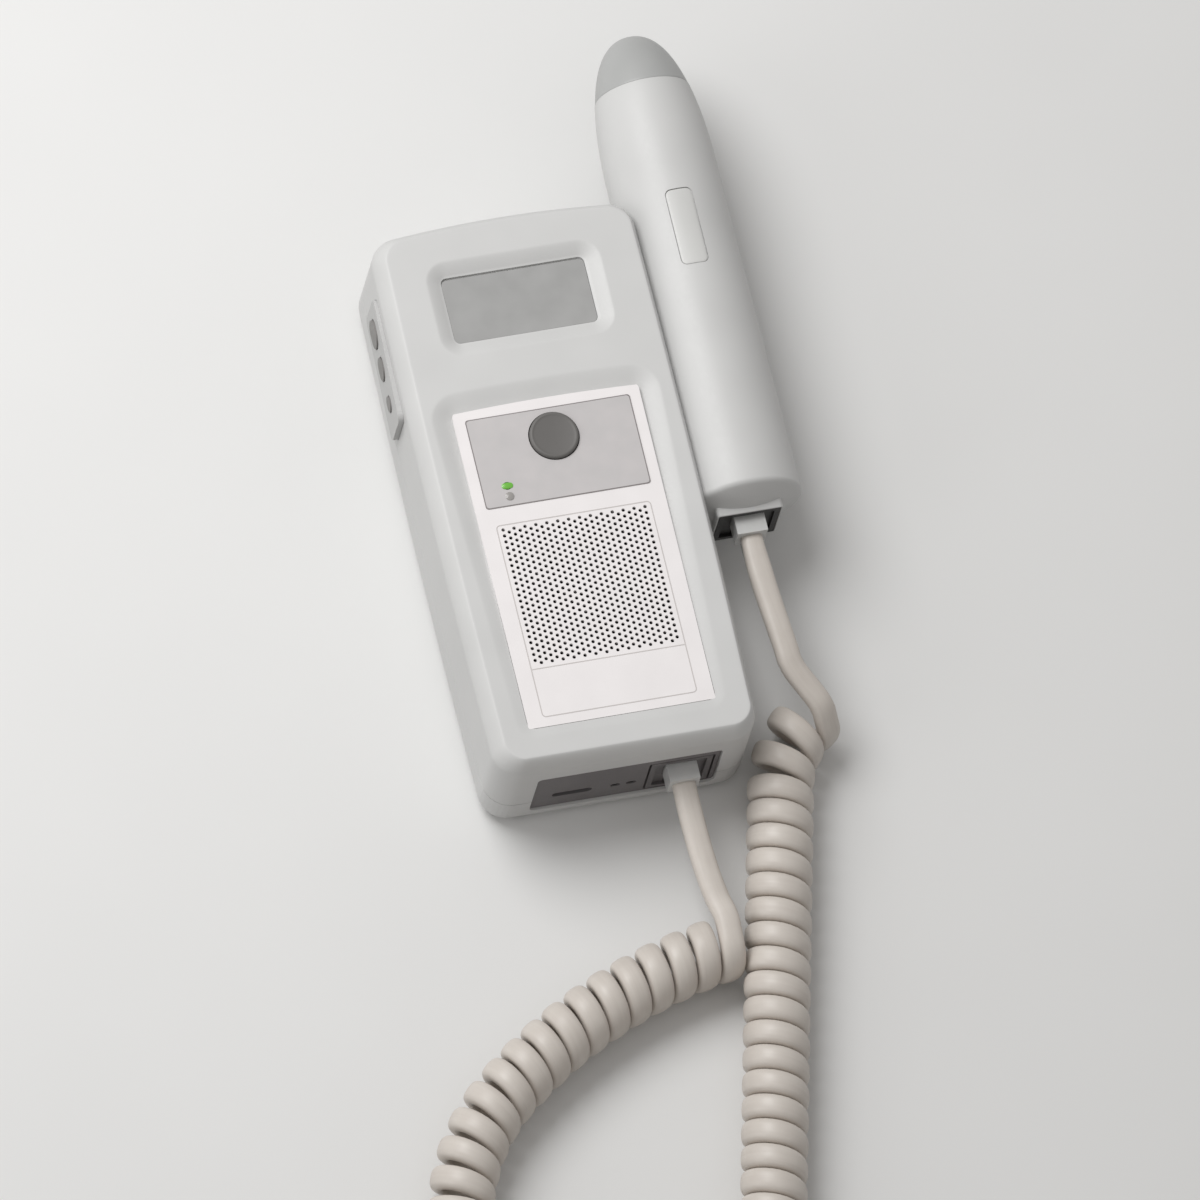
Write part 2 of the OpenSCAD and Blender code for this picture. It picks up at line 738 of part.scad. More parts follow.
module unit_jack() at_unit_jack() jack();
module unit_jack_contacts() at_unit_jack() jack_contacts();
module unit_plug() at_unit_jack() plug();
module unit_plug_contacts() at_unit_jack() plug_contacts();
module probe_jack() at_probe_jack() jack();
module probe_jack_contacts() at_probe_jack() jack_contacts();
module probe_plug() at_probe_jack() plug();
module probe_plug_contacts() at_probe_jack() plug_contacts();

// The holder: a foot on the unit's side and a curved arm under the probe
module probe_holder() {
    foot_x = unit_w / 2;
    color(body_grey) difference() {
        union() {
            translate([foot_x, holder_y, holder_low]) cube([holder_t, holder_l, holder_foot]);
            difference() {
                translate([probe_x, holder_y, probe_z]) rotate([-90, 0, 0])
                    cylinder(r = holder_out, h = holder_l, $fn = 96);
                // above the arm's end, and left of the foot
                translate([probe_x, holder_y - 1, probe_z]) rotate([0, -holder_end, 0])
                    translate([-60, 0, 0]) cube([120, holder_l + 2, 60]);
                translate([foot_x - 40, holder_y - 1, -20]) cube([40, holder_l + 2, 80]);
                translate([foot_x - 1, holder_y - 1, holder_low + holder_foot])
                    cube([12, holder_l + 2, 30]);
            }
        }
        translate([probe_x, holder_y - 1, probe_z]) rotate([-90, 0, 0])
            cylinder(r = holder_in, h = holder_l + 2, $fn = 96);
        // screw holes, with wells for the heads
        for (y = holder_screw_ys) translate([foot_x - 1, y, holder_screw_z]) rotate([0, 90, 0]) {
            cylinder(d = screw_d + 2 * fit, h = 9);
            translate([0, 0, 1 + holder_t]) cylinder(d = head_d + 2 * slip, h = 16);
        }
    }
}

module holder_screws() {
    color(steel) for (y = holder_screw_ys)
        translate([unit_w / 2 + holder_t, y, holder_screw_z]) rotate([0, -90, 0]) screw(6);
}

// Radius of the probe at a distance from its tip
function probe_radius(u) = u < nose_l
    ? nose_r * pow(1 - pow((nose_l - u) / nose_l, nose_power), 1 / nose_power)
    : nose_r + (probe_r - nose_r) * (u - nose_l) / (probe_l - nose_l);

// Half of the probe's outline between two distances from the tip, drawn in by a wall
function probe_side(u0, u1, inset, steps) =
    [for (i = [0:steps]) let (u = u0 + (u1 - u0) * i / steps)
        [max(probe_radius(u) - inset, 0.01), u]];

module turned_probe(points) {
    translate([probe_x, tip_y, probe_z]) rotate([90, 0, 0]) rotate_extrude($fn = 96) polygon(points);
}

module probe_hull_solid() {
    round_u = body_end - probe_end_r;
    turned_probe(concat([[0, cap_l]], probe_side(cap_l, nose_l, 0, 10),
        probe_side(nose_l + 1, round_u, 0, 1),
        quarter(probe_radius(round_u) - probe_end_r, round_u, probe_end_r, 10, 90, 6),
        [[0, body_end]]));
    // block round the jack
    translate([probe_x - jack_w / 2 - 0.6, probe_y, probe_z - plug_up - 0.6])
        cube([jack_w + 1.2, block_out + 2, jack_h + 1.2]);
}

module probe_shell_cuts() {
    turned_probe(concat([[0, cap_l - 1]], probe_side(cap_l - 1, nose_l, probe_wall, 8),
        [[probe_radius(body_end) - probe_wall, body_end - 3], [0, body_end - 3]]));
    // seat of the cap's spigot
    turned_probe([[0, cap_l - 1], [probe_radius(cap_l) - 1.2, cap_l - 1],
        [probe_radius(cap_l) - 1.2, cap_l + 4], [0, cap_l + 4]]);
    translate([probe_x - jack_w / 2 - fit, probe_y - 1, probe_z - plug_up - fit])
        cube([jack_w + 2 * fit, jack_d + 1, jack_h + 2 * fit]);
}

module probe_front_shell() {
    color(probe_white) difference() {
        intersection() {
            probe_hull_solid();
            translate([probe_x - 40, probe_y - 20, probe_z]) cube([80, probe_l + 40, 40]);
        }
        probe_shell_cuts();
        translate([probe_x, badge_y, badge_top - badge_sink]) round_block(badge_w, badge_l, 5, 1.6);
    }
}

module probe_rear_shell() {
    color(probe_white) {
        difference() {
            intersection() {
                probe_hull_solid();
                translate([probe_x - 40, probe_y - 20, probe_z - 40]) cube([80, probe_l + 40, 40]);
            }
            probe_shell_cuts();
        }
        // rests for the board
        for (u = [50, 84]) difference() {
            translate([probe_x - 8, tip_y - u, probe_z - 12.6]) cube([16, 1.6, 8.6]);
            turned_probe([[probe_radius(u) - 1, u - 4], [probe_radius(u) + 9, u - 4],
                [probe_radius(u) + 9, u + 4], [probe_radius(u) - 1, u + 4]]);
        }
    }
}

module probe_nose_cap() {
    color("#B0B1B0") difference() {
        turned_probe(concat([[0, 0]], probe_side(0.02, cap_l, 0, 14),
            [[probe_radius(cap_l) - 1.2 - fit, cap_l], [probe_radius(cap_l) - 1.2 - fit, cap_l + 3.6],
            [0, cap_l + 3.6]]));
        turned_probe([[0, 5], [4.6, 5], [7.6, cap_l - 3], [7.6, cap_l + 5], [0, cap_l + 5]]);
    }
}

module probe_badge() {
    color("#D2D2D0") translate([probe_x, badge_y, badge_top - badge_sink])
        round_block(badge_w - 2 * fit, badge_l - 2 * fit, 0.5, 1.5);
}

// The mount fills the cap from the back and carries two half-disc crystals
module crystal_mount() {
    color("#C9B38C") turned_probe([[0, 6.4], [4.4, 6.4], [7.4, cap_l - 2.4], [7.4, cap_l + 8],
        [3, cap_l + 8], [3, cap_l + 12], [0, cap_l + 12]]);
}

module crystals() {
    color("#8C8F94") difference() {
        turned_probe([[0, 5.2], [4.3, 5.2], [4.3, 6.3], [0, 6.3]]);
        translate([probe_x - 0.25, tip_y - 8, probe_z - 8]) cube([0.5, 6, 16]);
    }
}

module probe_board() {
    color(board_green) translate([probe_x - 8, tip_y - 96, probe_z - 4]) cube([16, 96 - cap_l - 14, 1.4]);
    color(near_black) for (u = [42, 60, 78])
        translate([probe_x - 4, tip_y - u - 6, probe_z - 2.6]) cube([8, 6, 1.6]);
}

// The coil: its axis lies on the floor as straight and round runs, [length, turn in degrees]
coil_start = [probe_x + 7, 11];
coil_heading = -147;
coil_runs = [[21, 43], [118, 0], [121, -180], [35, -37], [69, -30]];
coil_rc = (coil_od - cord_t) / 2;
coil_z = coil_od / 2;
coil_first = 45;
rings_per_curl = 8;

function run_curve(run) = run[1] * PI / 180 / run[0];
function run_at(p, h, run, s) = run[1] == 0
    ? [p[0] + s * cos(h), p[1] + s * sin(h), h]
    : let (k = run_curve(run), g = h + k * s * 180 / PI)
        [p[0] + (sin(g) - sin(h)) / k, p[1] - (cos(g) - cos(h)) / k, g];
function run_start(i) = i == 0 ? [coil_start[0], coil_start[1], coil_heading]
    : let (a = run_start(i - 1)) run_at(a, a[2], coil_runs[i - 1], coil_runs[i - 1][0]);

// Curls in each run: where the axis bends, the spacing opens so that the inside stays clear
run_turns = [for (r = coil_runs) r[0] / (coil_pitch / (1 - coil_rc * abs(run_curve(r))))];
function sum_to(list, n) = n <= 0 ? 0 : list[n - 1] + sum_to(list, n - 1);
raw_turns = sum_to(run_turns, len(run_turns));
coil_turns = floor(raw_turns + coil_first / 360) - coil_first / 360;
turn_scale = coil_turns / raw_turns;
run_from = [for (i = [0:len(coil_runs) - 1]) sum_to(run_turns, i) * turn_scale];
run_starts = [for (i = [0:len(coil_runs) - 1]) run_start(i)];

function run_of(t, i = 0) = i == len(coil_runs) - 1 || t < run_from[i + 1] ? i : run_of(t, i + 1);
function axis_at(t) = let (i = run_of(t), a = run_starts[i], n = run_turns[i] * turn_scale)
    run_at(a, a[2], coil_runs[i], (t - run_from[i]) / n * coil_runs[i][0]);
function out_at(t) = let (a = axis_at(t), w = coil_first + t * 360)
    [-sin(a[2]) * sin(w), cos(a[2]) * sin(w), cos(w)];
function wire_at(t) = let (a = axis_at(t)) [a[0], a[1], coil_z] + coil_rc * out_at(t);
function unit_of(v) = v / norm(v);
function along_at(t) = unit_of(wire_at(t + 0.004) - wire_at(t - 0.004));

// A ring of corners across the cord: wide along the coil's axis, thin away from it
function ring(p, along, out, w, t, sides) =
    let (b = unit_of(cross(along, out)) * w / 2, a = 360 / sides,
        n = unit_of(cross(b, along)) * t / 2 / sin(a * floor(sides / 4 + 0.5)))
    [for (k = [0:sides - 1]) p + b * cos(k * a) + n * sin(k * a)];

function tube_faces(rings, sides) = concat(
    [for (i = [1:sides - 2]) [0, i, i + 1]],
    [for (r = [0:rings - 2], k = [0:sides - 1], half = [0, 1])
        let (a = r * sides + k, b = r * sides + (k + 1) % sides)
        half == 0 ? [a, a + sides, b] : [b, a + sides, b + sides]],
    [for (i = [1:sides - 2]) let (e = (rings - 1) * sides) [e, e + i + 1, e + i]]);

module tube(rings, sides) {
    polyhedron([for (r = rings) each r], tube_faces(len(rings), sides), convexity = 10);
}

coil_end_0 = wire_at(0) - along_at(0) * cord_w;
coil_end_1 = wire_at(coil_turns) + along_at(coil_turns) * cord_w;
coil_steps = round(coil_turns * rings_per_curl);
function coil_ring(p, t) = ring(p, along_at(t), out_at(t), cord_w, cord_t, 6);
coil_rings = concat([coil_ring(coil_end_0, 0)],
    [for (i = [0:coil_steps]) coil_ring(wire_at(i / rings_per_curl), i / rings_per_curl)],
    [coil_ring(coil_end_1, coil_turns)]);

module cord_coil() {
    color(cord_cream) tube(coil_rings, 6);
}

// Least gap between a curl and the next, from the edges that face each other
function to_segment(p, a, b) =
    let (d = b - a, k = max(0, min(1, (p - a) * d / (d * d)))) norm(p - a - d * k);
curl_gaps = [for (i = [1:coil_steps - 9], j = [i + 5:i + 9])
    min(to_segment(coil_rings[i][0], coil_rings[j][3], coil_rings[j + 1][3]),
        to_segment(coil_rings[i][3], coil_rings[j][0], coil_rings[j + 1][0]))];
echo(curls = coil_turns, least_gap = min(curl_gaps),  // cord_coil
        wire_length = coil_turns * norm([2 * PI * coil_rc, coil_pitch]) + 2 * cord_w);

// Straight stretches of the cord, from a plug to an end of the coil, with points chosen by hand
// at shares of the way across, along and down
function lead_route(a, b, shares) = concat([a],
    [for (s = shares) [for (k = [0:2]) a[k] + (b[k] - a[k]) * s[k]]], [b]);
lead_unit_points = lead_route([jack_x, jack_face - plug_out, jack_z + plug_up], coil_end_1,
    [[0, 0.15, 0.3], [0.07, 0.32, 0.9], [0.22, 0.52, 1.5], [0.41, 0.69, 1.8], [0.7, 0.86, 1.8]]);
lead_probe_points = lead_route([probe_x, probe_y - plug_out, probe_z], coil_end_0,
    [[0.01, 0.12, 0.06], [0.05, 0.26, 0.13], [0.11, 0.39, 0.21], [0.19, 0.53, 0.28],
    [0.27, 0.67, 0.36], [0.37, 0.79, 0.51]]);

function lead_along(points, i, last) = i == 0 ? [0, -1, 0] : i == len(points) - 1 ? last
    : unit_of(unit_of(points[i + 1] - points[i]) + unit_of(points[i] - points[i - 1]));
function lead_rings(points, last) = [for (i = [0:len(points) - 1])
    ring(points[i], lead_along(points, i, last), [0, 0, 1], cord_w, cord_t, 8)];

module cord_lead_unit() {
    color(cord_cream) tube(lead_rings(lead_unit_points, -along_at(coil_turns)), 8);
}

module cord_lead_probe() {
    color(cord_cream) tube(lead_rings(lead_probe_points, along_at(0)), 8);
}

placed() front_shell();
placed() rear_shell();
placed() battery_door();
placed() battery_cells();
placed() battery_contacts();
placed() case_screws();
placed() main_board();
placed() board_screws();
placed() display_window();
placed() display_module();
placed() face_plate();
placed() inset_film();
placed() power_button();
placed() power_switch();
placed() status_lights();
placed() speaker();
placed() speaker_cloth();
placed() side_key_pad();
placed() side_key_upper();
placed() side_key_middle();
placed() side_key_lower();
placed() side_key_board();
placed() port_plate();
placed() charge_socket();
placed() charge_lights();
placed() unit_jack();
placed() unit_jack_contacts();
placed() probe_holder();
placed() holder_screws();
placed() probe_front_shell();
placed() probe_rear_shell();
placed() probe_nose_cap();
placed() probe_badge();
placed() crystal_mount();
placed() crystals();
placed() probe_board();
placed() probe_jack();
placed() probe_jack_contacts();
placed() unit_plug();
placed() unit_plug_contacts();
placed() probe_plug();
placed() probe_plug_contacts();
placed() cord_lead_unit();
placed() cord_coil();
placed() cord_lead_probe();
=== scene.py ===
# %% [markdown]
# # A pocket vascular doppler, with its pencil probe and its curly cord
# The device lies on its back on a pale table. A CAD model of it is already packed, with every
# separate piece in its real place, so this notebook never moves a piece: it gives each one its
# finish, and it builds again the few pieces whose soft forms need a finer mesh.

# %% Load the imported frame
import math
import bpy
import bmesh
import numpy as np
from mathutils import Matrix, Vector
from mathutils.geometry import delaunay_2d_cdt


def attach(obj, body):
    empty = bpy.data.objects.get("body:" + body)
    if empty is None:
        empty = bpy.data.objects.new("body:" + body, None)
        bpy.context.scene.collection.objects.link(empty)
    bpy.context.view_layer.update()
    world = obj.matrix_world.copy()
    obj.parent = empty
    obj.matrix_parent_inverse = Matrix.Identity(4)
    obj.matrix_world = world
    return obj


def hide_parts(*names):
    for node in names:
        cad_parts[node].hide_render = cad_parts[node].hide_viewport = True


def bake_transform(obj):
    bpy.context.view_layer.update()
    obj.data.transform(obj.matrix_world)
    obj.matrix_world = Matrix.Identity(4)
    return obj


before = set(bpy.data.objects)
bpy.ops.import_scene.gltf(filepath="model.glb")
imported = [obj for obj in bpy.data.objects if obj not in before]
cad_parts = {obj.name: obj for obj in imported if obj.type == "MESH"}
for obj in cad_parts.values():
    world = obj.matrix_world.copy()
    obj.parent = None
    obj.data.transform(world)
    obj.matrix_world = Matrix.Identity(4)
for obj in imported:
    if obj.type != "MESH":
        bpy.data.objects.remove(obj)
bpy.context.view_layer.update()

# %% [markdown]
# The pieces are described as on a drawing: millimetres, from the middle of the unit's bottom
# end, on its back. `placed` turns such a point into the shared frame's metres.

# %% From drawing millimetres to metres
MIDDLE = np.array([12.6785, 95.2, 0.0])


def placed(points):
    return (np.atleast_2d(np.asarray(points, float)) - MIDDLE) / 1000


print("unit's bottom end in the frame", placed([0, 0, 0])[0])

# %% [markdown]
# ## Camera
# A long lens from far away draws the box-like unit with almost parallel edges, as a catalogue
# photograph does. It looks steeply down, leaning a little to the bottom end and to the keys' side.
# Three directions at right angles to each other, and a spot, make up the camera's matrix.

# %% Camera
LENS_MM, CAMERA_AWAY = 1296, 10.6
camera_data = bpy.data.cameras.new("camera")
camera = bpy.data.objects.new("camera", camera_data)
bpy.context.scene.collection.objects.link(camera)
bpy.context.scene.camera = camera
camera_data.sensor_width = 36
camera_data.lens = LENS_MM
camera_data.clip_start, camera_data.clip_end = 1, 40
across = Vector((0.9663, -0.2241, 0.1265)).normalized()
towards = across.cross(Vector((0.1474, 0.9118, 0.3832))).normalized()
upward = towards.cross(across)
aim = Vector(placed([1.744, 41.07, 33.7])[0])
spot = aim + towards * CAMERA_AWAY
camera.matrix_world = Matrix((
    (across.x, upward.x, towards.x, spot.x),
    (across.y, upward.y, towards.y, spot.y),
    (across.z, upward.z, towards.z, spot.z),
    (0, 0, 0, 1)))
print("camera at", spot)

# %% [markdown]
# ## Materials
# Every material starts from what the real one is. `light` turns a printed colour into light
# values, and `add` adds one node, whose inputs are other nodes' outputs or plain values. `start`
# opens a material, and `finished` closes it with its shader. Patterns are in real sizes, because
# Object coordinates are metres on every piece here.

# %% Helpers for materials
CONTRAST = {"From Min": 0.3, "From Max": 0.7}


def light(code):
    values = [int(code[i:i + 2], 16) / 255 for i in (1, 3, 5)]
    return [v / 12.92 if v <= 0.04045 else ((v + 0.055) / 1.055) ** 2.4 for v in values] + [1.0]


def two_colours(fac, first, second):
    return {"Factor": fac, 6: light(first), 7: light(second)}


def add(tree, kind, inputs=None, out=0, **settings):
    node = tree.nodes.new(kind)
    for key, value in settings.items():
        setattr(node, key, value)
    for key, value in (inputs or {}).items():
        if isinstance(value, bpy.types.NodeSocket):
            tree.links.new(value, node.inputs[key])
        else:
            node.inputs[key].default_value = value
    return node if out is None else node.outputs[out]


def start(name):
    material = bpy.data.materials.new(name)
    material.use_nodes = True
    tree = material.node_tree
    tree.nodes.clear()
    return material, tree, add(tree, "ShaderNodeTexCoord", out="Object")


def finished(material, tree, inputs):
    shader = add(tree, "ShaderNodeBsdfPrincipled", inputs)
    add(tree, "ShaderNodeOutputMaterial", {"Surface": shader}, None)
    return material


print("mid grey as light", round(light("#808080")[0], 3))

# %% [markdown]
# ### Moulded plastics
# A mould leaves a fine spark-eroded grain on a plastic, which blurs its shine, and very faint
# patches of colour. The case is ABS in a light warm grey with a satin skin. The probe is the same
# plastic, polished smoother. The cap on its nose is an acoustic resin, the keys are silicone
# rubber, and the port plate is a darker ABS insert.

# %% Moulded plastics


def moulded(name, pale, dark, rough, size=0.5, depth=0.012, ior=1.5, cloud=18):
    material, tree, where = start(name)
    clouds = add(tree, "ShaderNodeTexNoise", {"Vector": where, "Scale": 1000 / cloud})
    patches = add(tree, "ShaderNodeMapRange", {"Value": clouds, **CONTRAST})
    spark = add(tree, "ShaderNodeTexNoise", {"Vector": where, "Scale": 1000 / size, "Detail": 3})
    return finished(material, tree, {
        "Base Color": add(tree, "ShaderNodeMix", two_colours(patches, pale, dark), 2, data_type="RGBA"),
        "Roughness": add(tree, "ShaderNodeMapRange", {
            "Value": spark, **CONTRAST, "To Min": rough - 0.05, "To Max": rough + 0.05}),
        "Normal": add(tree, "ShaderNodeBump", {"Height": spark, "Distance": depth / 1000}),
        "IOR": ior})


finish = {
    "case_plastic": moulded("case_abs_satin", "#D6D6D5", "#D2D2D1", 0.46),
    "pad_plastic": moulded("key_pad_abs_satin", "#C3C3C2", "#BEBEBD", 0.46),
    "probe_plastic": moulded("probe_abs_polished", "#D4D4D3", "#D0D0CF", 0.46, 0.8, 0.006),
    "cap_plastic": moulded("acoustic_cap_resin", "#B2B3B2", "#ADAEAD", 0.4, 0.9, 0.006),
    "badge_plastic": moulded("badge_abs_satin", "#D6D6D4", "#D1D1CF", 0.42),
    "port_plastic": moulded("port_plate_abs", "#787475", "#706C6D", 0.5),
    "key_rubber": moulded("silicone_rubber_grey", "#8D8B89", "#848280", 0.5, 0.7, 0.01, 1.43),
    "button_rubber": moulded("silicone_rubber_dark", "#73716F", "#6B6967", 0.5, 0.7, 0.01, 1.43),
    "socket_plastic": moulded("socket_nylon_grey", "#6E6A6B", "#666263", 0.45, 0.6, 0.01, 1.53),
    "black_plastic": moulded("black_nylon_moulded", "#262626", "#1E1E1E", 0.42, 0.6, 0.01, 1.53),
    "mount_plastic": moulded("cast_epoxy_mount", "#CBB58E", "#BFA983", 0.4, 1.2, 0.01, 1.55),
    "crystal": moulded("piezo_ceramic", "#8E9196", "#86898E", 0.55, 0.3, 0.006, 1.8),
    "cell_wrap": moulded("cell_shrink_sleeve", "#3F8050", "#376F46", 0.25, 2.0, 0.01),
}
print("plastics", len(finish))

# %% [markdown]
# ### Label, film, window and lights
# The face plate is a white polycarbonate label with a faint warm cast, and its inset is a finer
# printed film. The window is grey acrylic, and its faint mottling is the display's panel behind
# it. The lights are small polycarbonate pipes. The same recipe serves, with finer grain.

# %% Label, film, window and lights
for key, *recipe in (
        ("face_plate", "label_polycarbonate_white", "#F8F4F4", "#F4F0F0", 0.38, 0.4, 0.004, 1.58, 9),
        ("inset_film", "printed_film_grey", "#CECACA", "#C8C5C5", 0.36, 0.25, 0.004, 1.55, 6),
        ("window", "window_acrylic_grey", "#ADADAC", "#A6A6A5", 0.22, 3.0, 0.004, 1.49, 7),
        ("display", "display_panel", "#9EA09E", "#989A98", 0.3, 1.0, 0.004),
        ("light_lens", "light_lens_smoky", "#A8A5A2", "#9C9996", 0.18, 1.0, 0.004, 1.58),
        ("green_lens", "light_lens_green", "#78C24E", "#6DB844", 0.2, 1.0, 0.004, 1.58),
        ("dark_lens", "light_lens_dark", "#2E2E2C", "#262624", 0.16, 1.0, 0.004, 1.58),
        # One grey serves the printed frame and a painted shade line under the sound holes.
        ("printed_line", "print_and_emboss_shade_line_grey", "#D3CECC", "#CDC8C6", 0.4, 0.4, 0.004),
        # A dark grey for the line round the film's edge.
        ("printed_edge", "film_edge_dark_grey", "#8F8989", "#878181", 0.4, 0.4, 0.004)):
    finish[key] = moulded(*recipe)
print("with the face's finishes", len(finish))

# %% [markdown]
# ### Circuit board
# Green solder mask over copper tracks: the tracks show as slightly lighter lanes with soft edges.

# %% Circuit board
material, tree, where = start("circuit_board_solder_mask")
lanes = add(tree, "ShaderNodeTexVoronoi", {"Vector": where, "Scale": 330}, "Distance",
            feature="DISTANCE_TO_EDGE")
track = add(tree, "ShaderNodeMapRange", {"Value": lanes, "From Min": 0.05, "From Max": 0.09})
mask = add(tree, "ShaderNodeMix", two_colours(track, "#3B7D52", "#2A6340"), 2, data_type="RGBA")
lift = add(tree, "ShaderNodeBump", {"Height": track, "Distance": 0.00003, "Strength": 0.5})
finish["board"] = finished(material, tree, {"Base Color": mask, "Normal": lift, "Roughness": 0.3})
print("board's nodes", len(tree.nodes))

# %% [markdown]
# ### Metals
# Nickel-plated steel on the screws and contacts, and gold on the plug's blades. A stretched
# noise stands for the fine rolling lines of sheet metal.

# %% Metals


def rolled(name, pale, dark, rough):
    material, tree, where = start(name)
    lines = add(tree, "ShaderNodeMapping", {"Vector": where, "Scale": (1, 14, 1)})
    streaks = add(tree, "ShaderNodeTexNoise", {"Vector": lines, "Scale": 1000 / 1.2, "Detail": 4})
    return finished(material, tree, {
        "Base Color": add(tree, "ShaderNodeMix", two_colours(streaks, pale, dark), 2, data_type="RGBA"),
        "Roughness": add(tree, "ShaderNodeMapRange", {
            "Value": streaks, **CONTRAST, "To Min": rough - 0.06, "To Max": rough + 0.08}),
        "Metallic": 1.0})


finish["steel"] = rolled("nickel_plated_steel", "#C4C6C9", "#A9ABAF", 0.28)
finish["gold"] = rolled("gold_plated_bronze", "#DDB866", "#C79F4E", 0.25)
print("metals", finish["steel"].name, finish["gold"].name)

# %% [markdown]
# ### Clear plug and speaker cloth
# The modular plugs are clear polycarbonate, which scatters enough to look milky where it is thick.
# The cloth behind the sound holes is a black acoustic mesh. Two crossed waves draw its threads,
# about 0.8 mm apart: coarser than real ones, so that they can show.

# %% Clear plug and speaker cloth
material, tree, where = start("plug_polycarbonate_clear")
haze = add(tree, "ShaderNodeTexNoise", {"Vector": where, "Scale": 1000 / 2.5})
finish["clear_plastic"] = finished(material, tree, {
    "Base Color": add(tree, "ShaderNodeMix", two_colours(haze, "#F2F2F0", "#E6E7E6"), 2, data_type="RGBA"),
    "Roughness": add(tree, "ShaderNodeMapRange", {"Value": haze, **CONTRAST, "To Min": 0.06, "To Max": 0.16}),
    "IOR": 1.58, "Transmission Weight": 0.2})

material, tree, where = start("acoustic_mesh_black")
warp, weft = [add(tree, "ShaderNodeTexWave", {"Vector": where, "Scale": 400}, "Fac", bands_direction=way)
              for way in "XY"]
knit = add(tree, "ShaderNodeMath", {0: warp, 1: weft}, operation="MAXIMUM")
finish["cloth"] = finished(material, tree, {
    "Base Color": add(tree, "ShaderNodeMix", two_colours(knit, "#0C0C0C", "#1C1C1C"), 2, data_type="RGBA"),
    "Normal": add(tree, "ShaderNodeBump", {"Height": knit, "Distance": 0.0001}),
    "Roughness": 0.85})
print("finishes", len(finish))

# %% [markdown]
# ### Cord jacket
# Soft PVC in a cream grey. It was pulled through a die, so faint lines run along it, and handling
# has left it a little uneven. The lines follow the cord through its own UV map: U goes round it
# and V along it, both in metres.

# %% Cord jacket
material, tree, where = start("cord_pvc_cream")
along = add(tree, "ShaderNodeUVMap", uv_map="jacket")
die = add(tree, "ShaderNodeMapping", {"Vector": along, "Scale": (1, 0.06, 1)})
lines = add(tree, "ShaderNodeTexNoise", {"Vector": die, "Scale": 1000 / 0.9, "Detail": 3})
patches = add(tree, "ShaderNodeTexNoise", {"Vector": where, "Scale": 1000 / 5, "Detail": 3})
both = add(tree, "ShaderNodeMath", {0: patches, 1: lines}, operation="ADD")
half = add(tree, "ShaderNodeMath", {0: both, 1: 0.5}, operation="MULTIPLY")
worn = add(tree, "ShaderNodeMapRange", {"Value": half, **CONTRAST})
finish["cord"] = finished(material, tree, {
    "Base Color": add(tree, "ShaderNodeMix", two_colours(worn, "#D9D2CA", "#CFC7BF"), 2, data_type="RGBA"),
    "Roughness": add(tree, "ShaderNodeMapRange", {"Value": half, **CONTRAST, "To Min": 0.36, "To Max": 0.5}),
    "Normal": add(tree, "ShaderNodeBump", {"Height": half, "Distance": 0.00005, "Strength": 0.6}),
    "IOR": 1.53})
print("jacket's nodes", len(tree.nodes))

# %% [markdown]
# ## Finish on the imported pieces
# Each CAD node names the slot that its finish comes from, so one loop dresses them all.

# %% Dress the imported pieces
for name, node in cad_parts.items():
    for place in node.material_slots:
        base = place.material.name.split(".")[0]
        place.material = finish[base]
print("dressed", len(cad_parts), "pieces")

# %% [markdown]
# ## Curly cord
# A handset cord is a flat oval cable wound hot on a rod: it springs back into even curls that lie
# almost edge to edge. Its centre line is a rule, a helix round a bent axis, and its two ends run
# straight into their plugs. The numbers below are the cord's route, as in the CAD: each run of the
# axis has a length in millimetres and a turn in degrees.

# %% Route of the coil's axis
PLUG_OUT = 4.2
unit_plug_back = np.array([15.0, 0.6 - PLUG_OUT, 15.9])
probe_plug_back = np.array([45.0, 59.4 - PLUG_OUT, 22.5])
coil_runs = [(21, 43), (118, 0), (121, -180), (35, -37), (69, -30)]
coil_start, coil_heading, coil_first = (52.0, 11.0), -147.0, 45.0
coil_centre = (17.4 - 5.0) / 2
coil_height = 8.42
coil_pitch = 6.5


def run_at(x, y, heading, run, s):
    length, turn = run
    if turn == 0:
        a = math.radians(heading)
        return x + s * math.cos(a), y + s * math.sin(a), heading
    k = math.radians(turn) / length
    h, g = math.radians(heading), math.radians(heading) + k * s
    return x + (math.sin(g) - math.sin(h)) / k, y - (math.cos(g) - math.cos(h)) / k, math.degrees(g)


starts, turns = [(coil_start[0], coil_start[1], coil_heading)], []
for run in coil_runs:
    bend = abs(math.radians(run[1]) / run[0])
    turns.append(run[0] / (coil_pitch / (1 - coil_centre * bend)))
    starts.append(run_at(*starts[-1], run, run[0]))
whole = sum(turns)
coil_turns = math.floor(whole + coil_first / 360) - coil_first / 360
turn_from = np.concatenate([[0], np.cumsum(turns)]) * coil_turns / whole


def curl_at(t):
    i = min(int(np.searchsorted(turn_from, t, side="right")) - 1, len(coil_runs) - 1)
    i = max(i, 0)
    share = (t - turn_from[i]) / (turn_from[i + 1] - turn_from[i])
    x, y, heading = run_at(*starts[i], coil_runs[i], share * coil_runs[i][0])
    h, w = math.radians(heading), math.radians(coil_first + t * 360)
    out = np.array([-math.sin(h) * math.sin(w), math.cos(h) * math.sin(w), math.cos(w)])
    return np.array([x, y, coil_height]) + coil_centre * out, out


print("curls", round(coil_turns, 3), "axis ends at", [round(v, 1) for v in starts[-1]])

# %% [markdown]
# The straight ends are smooth curves through the CAD's given points. Each point of the
# whole line also carries an outward direction, so that the oval's flat side always faces away
# from the curl's middle, and a squeeze, which is less than one where the cord enters a plug.

# %% The cord's whole centre line
STEPS = 24
CORD_W, CORD_T = 6.1, 4.3


def along_at(t):
    d = curl_at(t + 0.004)[0] - curl_at(t - 0.004)[0]
    return d / np.linalg.norm(d)


